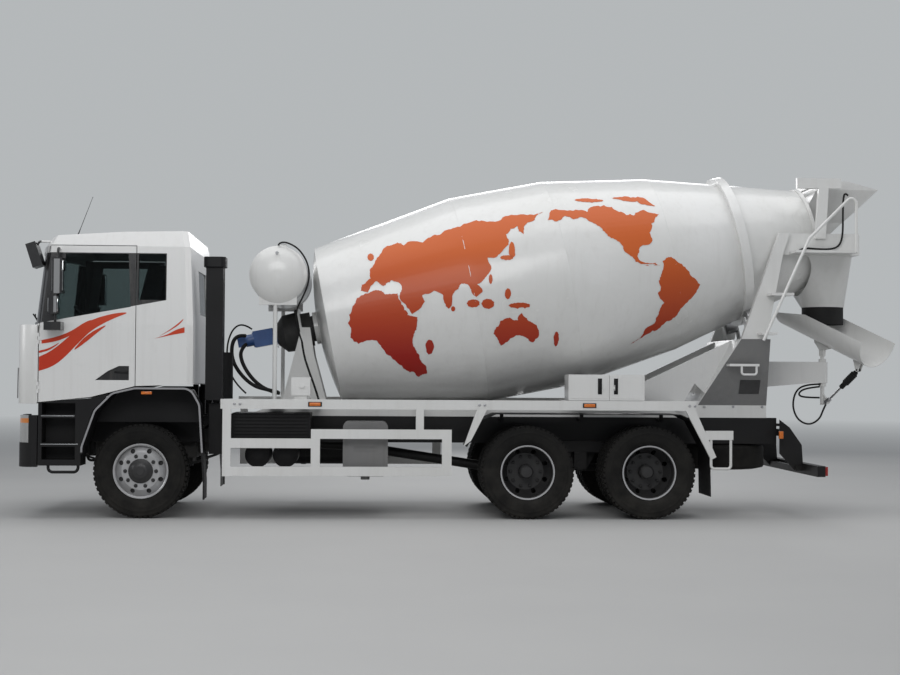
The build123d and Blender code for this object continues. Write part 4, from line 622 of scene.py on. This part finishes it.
def buildTyre():
    deep = tyre["radius"] - tyre["groove"]
    section = [(0.1037, 0.2873), (0.104, 0.304), (0.118, 0.308), (0.132, 0.325), (0.1395, 0.345),
               (0.1425, 0.352), (0.1425, 0.358), (0.1455, 0.375), (0.146, 0.405), (0.1425, 0.43),
               (0.1445, 0.436), (0.1405, 0.446), (0.138, 0.462), (0.137, 0.484),
               (0.128, deep - 0.006), (0.112, deep), (0.0, deep + 0.001)]
    rings = section + [(-across, out) for across, out in reversed(section[:-1])] + [section[0]]
    carcass = addTurned(rings, Matrix(), steps=72, solid=False)
    pattern = []
    rowTable = [(0.040, 0.050, 0.0), (-0.040, 0.050, 0.5), (0.101, 0.052, 0.5), (-0.101, 0.052, 0.0)]
    step = 2 * math.pi / tyre["lugs"]
    for across, width, shift in rowTable:
        lug = addBlock((tyre["radius"] - 0.0115, 0, across), (0.023, 0.043, width))
        openEdit(lug)
        pickFaces(lambda middle, normal: normal.x > 0.9)
        bpy.ops.transform.resize(value=(1, 0.86, 0.9))
        if abs(across) > 0.09:  # shoulder lugs fall away outwards
            pickFaces(lambda middle, normal: normal.z * across > 0.5)
            bpy.ops.transform.resize(value=(0.62, 1, 1), center_override=(tyre["radius"] - 0.023, 0, across))
        closeEdit()
        settle(lug)
        lug.data.transform(Matrix.Rotation(step * shift, 4, "Z"))
        pattern.append(lug)
    row = joined(pattern)
    lugs = copied(row, [Matrix.Rotation(step * i, 4, "Z") for i in range(tyre["lugs"])])
    return joined([carcass, lugs])


plainTyre = buildTyre()
wheelTable = [  # piece, node and body without their side, the axle, and how far out each tyre stands
    ("frontTyre", "front_tyre", "front_wheel", 0, (frontTrack,)),
    ("rearTyres1", "rear_tyres_1", "rear_wheels_1", rearAxles[0], twinTyres),
    ("rearTyres2", "rear_tyres_2", "rear_wheels_2", rearAxles[1], twinTyres),
]
for label, tyres, wheels, x, outs in wheelTable:
    for word, side in sides:
        name, node, body = label + word + "Tread", f"{tyres}_{word.lower()}", f"{wheels}_{word.lower()}"
        places = [standing(at(x, side * out, wheelZ), (0, side, 0)) for out in outs]
        piece = copied(plainTyre, places, keep=True)
        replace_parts(finished(piece, name, body, "tyreRubber", 30), node)
bpy.data.objects.remove(plainTyre)
print("tyres built")

# Wheel nuts and hub caps
nutTable = {"circle": 0.1675, "count": 10, "across": 0.018, "tall": 0.022, "stud": 0.010,
            "frontFace": 0.112, "rearFace": 0.013}  # the faces they stand on, out from the wheel's middle


def buildNut():
    across, tall, stud = nutTable["across"], nutTable["tall"], nutTable["stud"]
    nut = addTurned([(0, 0.023), (0.004, 0.023), (0.0045, across), (0.019, across), (tall, 0.0145)],
                    Matrix(), steps=6)
    stud = addTurned([(tall - 0.002, stud), (0.036, stud), (0.038, 0.008)], Matrix(), steps=10)
    return joined([nut, stud])


count, circle = nutTable["count"], nutTable["circle"]
nutRing = copied(buildNut(), [Matrix.Rotation(2 * math.pi * i / count, 4, "Z")
                              @ Matrix.Translation((circle, 0, 0)) for i in range(count)])
for word, side in sides:
    outwards = (0, side, 0)
    frontFace = standing(at(0, side * (frontTrack + nutTable["frontFace"]), wheelZ), outwards)
    piece = copied(nutRing, [frontFace], keep=True)
    cap = addTurned([(-0.002, 0.134), (0.010, 0.134), (0.014, 0.128), (0.018, 0.110), (0.040, 0.086),
                     (0.046, 0.078), (0.048, 0.050), (0.053, 0.046), (0.054, 0.030)], frontFace, steps=40)
    brake = addTurned([(-0.075, 0.262), (-0.068, 0.266), (-0.060, 0.262), (-0.058, 0.16)],
                      frontFace, steps=40)
    finished(joined([piece, cap, brake]), "frontNuts" + word, "front_wheel_" + word.lower(),
             "darkRim")
    for number, x in enumerate(rearAxles, 1):
        face = standing(at(x, side * (twinMiddle + nutTable["rearFace"]), wheelZ), outwards)
        piece = copied(nutRing, [face], keep=True)
        cap = addTurned([(0.150, 0.062), (0.156, 0.060), (0.160, 0.050), (0.168, 0.047), (0.170, 0.030)],
                        standing(at(x, side * twinMiddle, wheelZ), outwards), steps=32)
        finished(joined([piece, cap]), f"rearNuts{number}{word}", f"rear_wheels_{number}_{word.lower()}",
                 "darkRim")
bpy.data.objects.remove(nutRing)
print("wheel nuts set")

# Film artwork on the drum: plain landmasses, as outlines of x and z
drumHead = at(-2.010, 0, 2.150)
lands = {
    "westLand": [
        (-2.29, 2.33), (-2.34, 2.43), (-2.43, 2.48), (-2.55, 2.52), (-2.65, 2.47), (-2.79, 2.48),
        (-2.83, 2.36), (-2.9, 2.24), (-3.01, 2.22), (-3.0, 2.08), (-2.96, 1.94), (-3.04, 1.8),
        (-3.11, 1.69), (-3.13, 1.6), (-3.04, 1.56), (-2.9, 1.63), (-2.78, 1.73), (-2.65, 1.85),
        (-2.56, 1.96), (-2.46, 1.96), (-2.36, 1.92), (-2.27, 1.99), (-2.24, 2.15)],
    "northLand": [
        (-2.38, 2.51), (-2.39, 2.58), (-2.49, 2.65), (-2.48, 2.75), (-2.56, 2.89), (-2.7, 3.03),
        (-2.79, 3.07), (-2.86, 3.03), (-2.95, 3.08), (-3.07, 3.06), (-3.26, 3.15), (-3.43, 3.23),
        (-3.64, 3.31), (-3.88, 3.3), (-4.13, 3.38), (-4.42, 3.42), (-4.32, 3.32), (-4.22, 3.27),
        (-4.19, 3.15), (-4.12, 3.25), (-3.99, 3.15), (-4.02, 3.07), (-3.93, 2.94), (-3.78, 2.88),
        (-3.82, 2.76), (-3.74, 2.64), (-3.66, 2.58), (-3.72, 2.5), (-3.65, 2.44), (-3.58, 2.55),
        (-3.48, 2.58), (-3.41, 2.49), (-3.35, 2.31), (-3.29, 2.46), (-3.19, 2.51), (-3.06, 2.46),
        (-3.09, 2.39), (-2.95, 2.25), (-2.81, 2.46), (-2.83, 2.57), (-2.72, 2.63), (-2.63, 2.56),
        (-2.55, 2.62), (-2.46, 2.49)],
    "eastLand": [
        (-4.46, 3.32), (-4.53, 3.44), (-4.79, 3.45), (-5.03, 3.5), (-5.21, 3.49), (-5.28, 3.43),
        (-5.45, 3.39), (-5.57, 3.46), (-5.74, 3.41), (-5.64, 3.3), (-5.61, 3.19), (-5.64, 3.1),
        (-5.49, 3.02), (-5.46, 2.92), (-5.6, 2.84), (-5.73, 2.82), (-5.52, 2.82), (-5.38, 2.92),
        (-5.27, 3.06), (-5.13, 3.14), (-5.02, 3.26), (-4.85, 3.36), (-4.66, 3.37), (-4.56, 3.3)],
    "capLand": [(-5.21, 3.61), (-5.39, 3.63), (-5.61, 3.6), (-5.71, 3.51), (-5.55, 3.53), (-5.35, 3.57)],
    "southLand": [
        (-5.75, 2.87), (-5.85, 2.92), (-6.02, 2.81), (-6.11, 2.7), (-6.21, 2.62), (-6.11, 2.46),
        (-5.97, 2.3), (-5.85, 2.21), (-5.69, 2.1), (-5.45, 1.95), (-5.6, 2.12), (-5.74, 2.29),
        (-5.79, 2.41), (-5.71, 2.65), (-5.76, 2.78)],
    "farLand": [
        (-3.85, 2.04), (-3.92, 2.18), (-4.03, 2.22), (-4.12, 2.19), (-4.16, 2.27), (-4.23, 2.19),
        (-4.33, 2.14), (-4.36, 2.02), (-4.3, 1.95), (-4.18, 2.02), (-4.04, 1.99), (-3.94, 1.91)],
}
# islands: middle x, middle z, half length, half height
isleTable = [(-3.15, 1.89, 0.045, 0.084), (-4.05, 2.97, 0.034, 0.095), (-3.99, 2.88, 0.073, 0.028),
             (-3.81, 2.64, 0.022, 0.056), (-4.0, 2.48, 0.034, 0.062), (-3.78, 2.37, 0.073, 0.056),
             (-3.62, 2.37, 0.073, 0.045), (-4.13, 2.35, 0.123, 0.034), (-4.56, 1.99, 0.028, 0.084),
             (-3.4, 2.31, 0.022, 0.028), (-4.96, 3.57, 0.168, 0.025), (-2.49, 2.90, 0.040, 0.045)]
turns = [math.radians(degrees) for degrees in range(0, 360, 40)]
for number, (x, z, half, rise) in enumerate(isleTable):
    lands[f"isle{number}"] = [(x + half * math.cos(turn), z + rise * math.sin(turn)) for turn in turns]


def coast(points):  # each run is halved three times and pushed about, as a shore wanders
    for level in range(3):
        finer = []
        for (x0, z0), (x1, z1) in zip(points, points[1:] + points[:1]):
            reach = math.hypot(x1 - x0, z1 - z0)
            sway = noise.noise(Vector((x0 * 9.1, z0 * 9.7, level * 3.3))) * reach * 0.34
            across, up = (z1 - z0) / reach * sway, (x1 - x0) / reach * sway
            finer += [(x0, z0), ((x0 + x1) / 2 - across, (z0 + z1) / 2 + up)]
        points = finer
    return points


def laidOn(obj, target, stepX, stepZ, lift):
    # cuts a flat shape into strips and lays it on what is behind it, seen from the left
    low = [min(v.co[i] for v in obj.data.vertices) for i in range(3)]
    high = [max(v.co[i] for v in obj.data.vertices) for i in range(3)]
    openEdit(obj)
    for axis, step, normal in ((0, stepX, (1, 0, 0)), (2, stepZ, (0, 0, 1))):
        place = low[axis] + step / 2
        while place < high[axis]:
            bpy.ops.mesh.select_all(action="SELECT")
            point = [0, 0, 0]
            point[axis] = place
            bpy.ops.mesh.bisect(plane_co=point, plane_no=normal)
            place += step
    closeEdit()
    obj.data.transform(Matrix.Translation((0, 1.6, 0)))
    return applied(obj, "SHRINKWRAP", target=target, wrap_method="PROJECT", use_project_y=True,
                   use_positive_direction=False, use_negative_direction=True,
                   wrap_mode="ABOVE_SURFACE", offset=lift)


def turnedAbout(points):  # the same shape read from the far side, kept at its height over the drum's axis
    span, rise = -8.45, math.tan(drumTilt)  # twice the x of the artwork's middle
    return [(span - x, z + rise * (2 * x - span)) for x, z in points]


def drawn(outlines):
    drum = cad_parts["drum"]
    return joined([laidOn(addOutline(points), drum, 0.06, 0.045, 0.003) for points in outlines])


finished(drawn([coast(points) for points in lands.values()]), "drumArtworkLeft", "drum", "drumFilm",
         60)
farSide = drawn([turnedAbout(coast(points)) for points in lands.values()])
finished(mirroredCopy(farSide), "drumArtworkRight", "drum", "drumFilm", 60)
bpy.data.objects.remove(farSide)

# weld beads round the drum
beads = []
for station, radius in ((1.652, 1.212), (2.742, 1.212), (3.958, 1.025)):
    low, high = radius - 0.004, radius + 0.001
    beads.append(addTurned([(-0.006, low), (-0.003, high), (0.003, high), (0.006, low)],
                           standing(drumHead + drumAxis * station, drumAxis), 96, False))
finished(joined(beads), "drumWelds", "drum", "drumPaint", 60)
print("drum dressed")

# Stripes on the cab
swoosh = {
    "wide": [(1.086, 1.597), (1.086, 1.597), (0.947, 1.640), (0.82, 1.735), (0.66, 1.91), (0.52, 2.05),
             (0.30, 2.17), (0.10, 2.245), (0.32, 2.225), (0.60, 2.13), (0.80, 1.94), (0.96, 1.81),
             (1.086, 1.750), (1.086, 1.750)],
    "upper": [(1.086, 1.925), (1.086, 1.925), (0.90, 1.965), (0.74, 2.03), (0.60, 2.13), (0.50, 2.165),
              (0.66, 2.035), (0.82, 1.945), (0.96, 1.905), (1.086, 1.890), (1.086, 1.890)],
    "low": [(0.74, 1.80), (0.62, 1.95), (0.50, 2.04), (0.34, 2.115), (0.46, 2.02), (0.60, 1.90)],
    "thin": [(1.086, 1.815), (1.086, 1.815), (0.97, 1.845), (0.84, 1.925), (0.96, 1.825), (1.086, 1.790),
             (1.086, 1.790)],
}
for word, side in sides:
    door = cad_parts["door_left"]
    strips = [laidOn(addOutline(points, smooth=True), door, 0.05, 0.05, 0.0012 + 0.0006 * number)
              for number, points in enumerate(swoosh.values())]
    piece = joined(strips)
    if side < 0:
        twin = mirroredCopy(piece)
        bpy.data.objects.remove(piece)
        piece = twin
    finished(piece, "doorStripes" + word, "door_" + word.lower(), "cabFilm", 60)
tail = {
    "top": [(-0.17, 1.965), (-0.33, 2.05), (-0.43, 2.12), (-0.475, 2.19), (-0.39, 2.11), (-0.28, 2.03)],
    "foot": [(-0.14, 1.955), (-0.14, 1.955), (-0.28, 1.995), (-0.38, 2.055), (-0.473, 2.082), (-0.473, 2.082),
             (-0.473, 2.022), (-0.473, 2.022), (-0.36, 2.002), (-0.24, 1.975)],
}
piece = joined([laidOn(addOutline(points, smooth=True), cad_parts["cab_shell"], 0.05, 0.05, lift)
                for lift, points in zip((0.0012, 0.0018), tail.values())])
finished(bothSides(piece), "cabStripes", "cab", "cabFilm", 60)
print("stripes laid")

# Lamps: amber markers on the deck rails, and one over each front wheel arch
for number, (side, x) in enumerate((side, x) for side in (1, -1) for x in (-1.893, -4.907)):
    base = addBlock(at(x, side * (railFace + 0.003), railBoltZ), (0.150, 0.010, 0.052), edge=0.004)
    lens = addBlock(at(x, side * (railFace + 0.010), railBoltZ), (0.120, 0.016, 0.036))
    rounded(raised(lens, (0, side, 0), 0.008, 0.005), 0.003)
    finished(base, f"markerBase{number}", "chassis", "darkPlastic")
    finished(lens, f"markerLens{number}", "chassis", "amber")
for word, side in sides:
    lens = addBlock(at(-0.07, side * 1.243, 1.366), (0.115, 0.012, 0.030), edge=0.004)
    finished(lens, "archMarker" + word, "chassis", "amber")
print("lamps set")

# Mirrors, door handles and antenna
for word, side in sides:
    door = "door_" + word.lower()
    backs, glasses = [], []
    for x, z, wide, tall in ((0.864, 2.622, 0.075, 0.340), (0.9095, 2.3045, 0.062, 0.150)):
        back = addBlock(at(x + wide / 2 + 0.0155, side * 1.355, z), (0.010, 0.150, tall))
        backs.append(rounded(raised(back, (1, 0, 0), 0.02, 0.006), 0.004))
        glass = addBlock(at(x - wide / 2 - 0.0185, side * 1.356, z), (0.006, 0.156, tall - 0.02))
        glasses.append(rounded(raised(glass, (-1, 0, 0), 0.006, 0.002), 0.0015))
    finished(joined(backs), "mirrorBacks" + word, door, "silver")
    finished(joined(glasses), "mirrorGlass" + word, door, "mirrorGlass")
    pull = addBlock(at(0.205, side * 1.2275, 1.590), (0.150, 0.011, 0.036))
    openEdit(pull)
    pickFaces(lambda middle, normal: normal.x > 0.9)
    bpy.ops.transform.resize(value=(1, 1, 0.6))
    closeEdit()
    finished(rounded(pull, 0.003), "doorPull" + word, door, "darkPlastic")
mast = addTurned([(0, 0.016), (0.02, 0.014), (0.03, 0.007), (0.07, 0.005), (0.10, 0.0035), (0.46, 0.0022),
                  (0.463, 0.0035), (0.47, 0.0035)],
                 standing(at(0.753, 0.90, 3.088), (-0.35, 0, 0.936)), steps=12)
finished(mast, "antenna", "cab", "darkPlastic")

# Tool box handles and rail bolts
for body, x in (("tool_box_door_front", -5.021), ("tool_box_door_rear", -5.199)):
    plate = addBlock(at(x, 1.2435, 1.464), (0.046, 0.005, 0.175), edge=0.002)
    grip = addBlock(at(x, 1.250, 1.464), (0.020, 0.014, 0.140))
    rounded(raised(grip, (0, 1, 0), 0.004, 0.003), 0.003)
    finished(joined([plate, grip]), "latch" + body.split("_")[-1].capitalize(), body,
             "darkPlastic")

boltHead = addTurned([(0, 0.017), (0.002, 0.017), (0.0025, 0.012), (0.011, 0.012), (0.013, 0.009)],
                     Matrix(), steps=6)
spots = [standing(at(x, side * railFace, railBoltZ), (0, side, 0)) for side in (1, -1)
         for x in (-3.69, -3.75, -6.02, -6.08, -1.02, -1.08)]
finished(copied(boltHead, spots, keep=True), "railBolts", "chassis", "steel")
spots = []
for station, radius, count in ((-0.20, 0.155, 12), (-0.62, 0.130, 8)):
    for i in range(count):
        turn = 2 * math.pi * i / count
        up = Vector((math.sin(drumTilt), 0, math.cos(drumTilt)))
        out = up * math.cos(turn) + Vector((0, 1, 0)) * math.sin(turn)
        spots.append(standing(drumHead + drumAxis * station + out * radius, -drumAxis))
finished(copied(boltHead, spots, keep=True), "gearBolts", "chassis", "steel")
print("small fittings set")

# Hoses and pipes, fixed at both ends
hoseTable = {  # body, radius and the points of the line
    "motorHoseUpper": ("chassis", 0.022, [
        (-1.05, 0.16, 2.02), (-0.97, 0.21, 2.03), (-0.9, 0.24, 1.94), (-0.9, 0.25, 1.75), (-1.0, 0.3, 1.58),
        (-1.16, 0.36, 1.44), (-1.33, 0.4, 1.4), (-1.45, 0.42, 1.37)]),
    "motorHoseLower": ("chassis", 0.022, [
        (-1.05, 0.05, 1.93), (-0.99, 0.1, 1.86), (-1.0, 0.16, 1.74), (-1.09, 0.24, 1.58),
        (-1.22, 0.3, 1.45), (-1.36, 0.34, 1.38), (-1.46, 0.36, 1.36)]),
    "motorDrain": ("chassis", 0.01, [
        (-1.12, 0.12, 2.1), (-1.02, 0.16, 2.17), (-0.9, 0.2, 2.1), (-0.84, 0.24, 1.9), (-0.86, 0.3, 1.66),
        (-0.96, 0.36, 1.46), (-1.08, 0.42, 1.36)]),
    "tankPipe": ("chassis", 0.01, [
        (-1.46, 0.9, 3.012), (-1.47, 0.9, 3.045), (-1.56, 0.9, 3.05), (-1.7, 0.92, 2.97), (-1.8, 0.94, 2.8),
        (-1.81, 0.94, 2.62), (-1.74, 0.92, 2.44), (-1.66, 0.84, 2.3), (-1.66, 0.74, 2.12),
        (-1.72, 0.64, 1.95)]),
    "headHose": ("chassis", 0.012, [
        (-1.72, 0.64, 1.95), (-1.74, 0.62, 1.8), (-1.8, 0.62, 1.62), (-1.86, 0.62, 1.46),
        (-1.9, 0.62, 1.34), (-1.92, 0.6, 1.27)]),
    "deckHose": ("chassis", 0.011, [
        (-7.94, 0.8, 3.66), (-7.915, 0.8, 3.69), (-7.885, 0.8, 3.66), (-7.88, 0.8, 3.45),
        (-7.88, 0.8, 3.22), (-7.85, 0.79, 3.09), (-7.76, 0.785, 3.045), (-7.58, 0.785, 3.045),
        (-7.44, 0.785, 3.06), (-7.38, 0.785, 3.03)]),
    "chuteHoseLong": ("chute_post", 0.011, [
        (-7.84, 0.05, 1.5), (-7.7, 0.05, 1.5), (-7.55, 0.05, 1.44), (-7.5, 0.05, 1.25), (-7.56, 0.05, 1.08),
        (-7.7, 0.05, 1.01), (-7.83, 0.05, 1.08), (-7.875, 0.055, 1.2), (-7.905, 0.06, 1.262)]),
    "chuteHoseShort": ("chute_post", 0.011, [
        (-7.84, 0.02, 1.47), (-7.74, 0.02, 1.46), (-7.62, 0.02, 1.43), (-7.58, 0.02, 1.37),
        (-7.66, 0.02, 1.34), (-7.84, 0.02, 1.34)]),
}
for name, (body, radius, points) in hoseTable.items():
    finished(addTube([at(*point) for point in points], radius), name, body, "rubber", 60)
print("hoses laid")

# The chute strut's gaiter
strut = {"postX": -7.880, "turn": math.radians(120), "high": (0.560, 1.670), "low": (0.070, 1.290)}


def onStrut(out, z):
    return at(strut["postX"] + math.cos(strut["turn"]) * out, math.sin(strut["turn"]) * out, z)


strutHigh, strutLow = onStrut(*strut["high"]), onStrut(*strut["low"])
down = (strutLow - strutHigh).normalized()
folds = [(0.0, 0.030)]
for i in range(7):
    folds += [(0.010 + i * 0.026, 0.044), (0.023 + i * 0.026, 0.036)]
folds.append((0.196, 0.030))
gaiter = addTurned(folds, standing(strutHigh + down * 0.075, down), steps=28)
finished(gaiter, "strutGaiter", "strut_barrel", "rubber", 50)

# straps, filler cap and level plug of the water tank
tank = {"x": -1.460, "z": 2.690, "radius": 0.3205}
band = [(-0.022, tank["radius"]), (-0.020, tank["radius"] + 0.004), (0.020, tank["radius"] + 0.004),
        (0.022, tank["radius"])]
straps = [addTurned(band, standing(at(tank["x"], y, tank["z"]), (0, 1, 0)), 72, False) for y in (0.62, -0.62)]
cap = addTurned([(0, 0.050), (0.006, 0.053), (0.012, 0.050), (0.014, 0.038), (0.020, 0.036), (0.021, 0.012)],
                standing(at(tank["x"] - 0.030, 0.50, tank["z"] + 0.365)), steps=28)
plug = addTurned([(0, 0.020), (0.008, 0.020), (0.009, 0.012), (0.016, 0.011)],
                 standing(at(tank["x"] + 0.01, 0.965, tank["z"] + 0.235), (0, 0.9, 0.42)), steps=6)
finished(joined(straps + [cap, plug]), "tankStraps", "chassis", "silver")

# the casing's blank plates and bolts, and the rear markers
for word, side in sides:
    lean = -side * 0.487
    plate = addBlock(at(-6.864, side * 0.546, 1.464), (0.236, 0.006, 0.180), (lean, 0, 0))
    raised(plate, (0, side, 0), 0.012, -0.002, 0.8)
    finished(rounded(plate, 0.0015), "casingPlate" + word, "chassis", "greyPlate")
    marker = addBlock(at(-7.191, side * 0.700, 0.918), (0.050, 0.030, 0.085))
    raised(marker, (0, side, 0), 0.008, 0.006)
    finished(rounded(marker, 0.004), "rearMarker" + word, "chassis", "amber")
spots = [standing(at(x, side * 0.434, 1.232), (0, side, 0)) for side in (1, -1)
         for x in (-6.36, -6.70, -7.04)]
finished(copied(boltHead, spots), "casingBolts", "chassis", "steel")

# the cab's nose: a bowed white panel below the windscreen, with dark slats let into it
def bowed(front, half, corner, back):  # half of a bowed outline, from the middle to the side
    run = [(front - 0.030 * (i / 6) ** 2, (half - corner) * i / 6) for i in range(7)]
    for i in range(1, 9):
        turn = math.radians(90 * i / 8)
        run.append((front - 0.030 - corner * 0.8 * (1 - math.cos(turn)),
                    half - corner * (1 - math.sin(turn))))
    return run + [(back, half)]


nose = {"front": 1.3585, "half": 1.2425, "corner": 0.17, "back": 1.106,
        "low": 1.244, "high": 2.098, "wall": 0.012}
outer = bowed(nose["front"], nose["half"], nose["corner"], nose["back"])
inner = bowed(nose["front"] - nose["wall"], nose["half"] - nose["wall"], nose["corner"], nose["back"])
outline = outer + inner[::-1] + [(x, -y) for x, y in inner[1:]] + [(x, -y) for x, y in outer[:0:-1]]
panel = addPlan(outline, nose["low"], nose["high"])
closing = [(x - 0.002, y * 0.998) for x, y in outer] + [(x - 0.002, -y * 0.998) for x, y in outer[:0:-1]]
lid = addPlan(closing, nose["high"] - 0.016, nose["high"] - 0.002)
sill = addPlan(closing, nose["low"] + 0.002, nose["low"] + 0.016)
finished(joined([rounded(panel, 0.004), lid, sill]), "nosePanel", "cab", "whitePaint")
slats = []
for i in range(6):
    slat = addBlock(at(1.3515, 0, 1.395 + i * 0.066), (0.014, 1.30 - 0.03 * i, 0.040))
    slats.append(rounded(raised(slat, (1, 0, 0), 0.006, 0.0015), 0.002))
finished(joined(slats), "noseSlats", "cab", "darkPlastic")
edges = [addTube([at(1.335, side * 1.115, 1.30), at(1.335, side * 1.118, 1.50), at(1.328, side * 1.13, 1.63)],
                 0.006, rounds=2) for side in (1, -1)]
finished(joined(edges), "noseEdges", "cab", "greyPaint")
wipers = []
for y in (0.16, -0.62):
    wipers.append(addTube([at(1.318, y, 2.135), at(1.322, y + 0.02, 2.17), at(1.312, y + 0.20, 2.21),
                           at(1.294, y + 0.40, 2.235)], 0.009))
    blade = addTube([at(1.322 - 0.16 * (y + step) ** 2, y + step, 2.165 + 0.11 * step)
                     for step in (0.04, 0.22, 0.40, 0.58)], 0.007)
    wipers.append(blade)
finished(joined(wipers), "wipers", "cab", "darkPlastic")

# bright edges on the cab steps' treads
lines = []
for side in (1, -1):
    for xLow, xHigh, z in ((0.66, 1.06, 0.806), (0.70, 1.06, 1.112)):
        lines.append(addBlock(at((xLow + xHigh) / 2, side * 1.2345, z), (xHigh - xLow, 0.005, 0.008),
                              edge=0.002))
finished(joined(lines), "stepEdges", "chassis", "silver")
print("nose and steps trimmed")


# Seats
def addPad(centre, size, crown, lean=0.0):
    # a crowned closed pad, pulled in at its corners and along its seams
    pad = addBlock((0, 0, 0), size)
    openEdit(pad)
    bpy.ops.mesh.select_all(action="SELECT")
    bpy.ops.mesh.subdivide(number_cuts=11)
    closeEdit()
    half = Vector(size) / 2
    for vertex in pad.data.vertices:
        share = [vertex.co[i] / half[i] for i in range(3)]
        for i in range(3):
            others = [1 - share[j] ** 4 for j in range(3) if j != i]
            vertex.co[i] += share[i] ** 3 * crown[i] * others[0] * others[1]
        seam = min(abs(abs(share[1]) - 0.62) / 0.07, 1)
        flat = min(range(3), key=lambda i: size[i])
        if abs(share[flat]) > 0.99:
            vertex.co[flat] -= math.copysign(0.010 * (1 - seam), vertex.co[flat])
    applied(pad, "SUBSURF", levels=1, render_levels=1)
    pad.matrix_world = Matrix.Translation(centre) @ Matrix.Rotation(lean, 4, "Y")
    return settle(pad)


for word, side in sides:
    y = side * 0.56
    cushion = addPad(at(0.315, y, 1.862), (0.560, 0.545, 0.165), (0.006, 0.006, 0.022))
    finished(cushion, "seatCushion" + word, "cab", "fabric", 60)
    back = addPad(at(-0.022, y, 2.345), (0.215, 0.500, 0.925), (0.012, 0.008, 0.006), math.radians(-13.5))
    finished(back, "seatBack" + word, "cab", "fabric", 60)
print("seats padded")
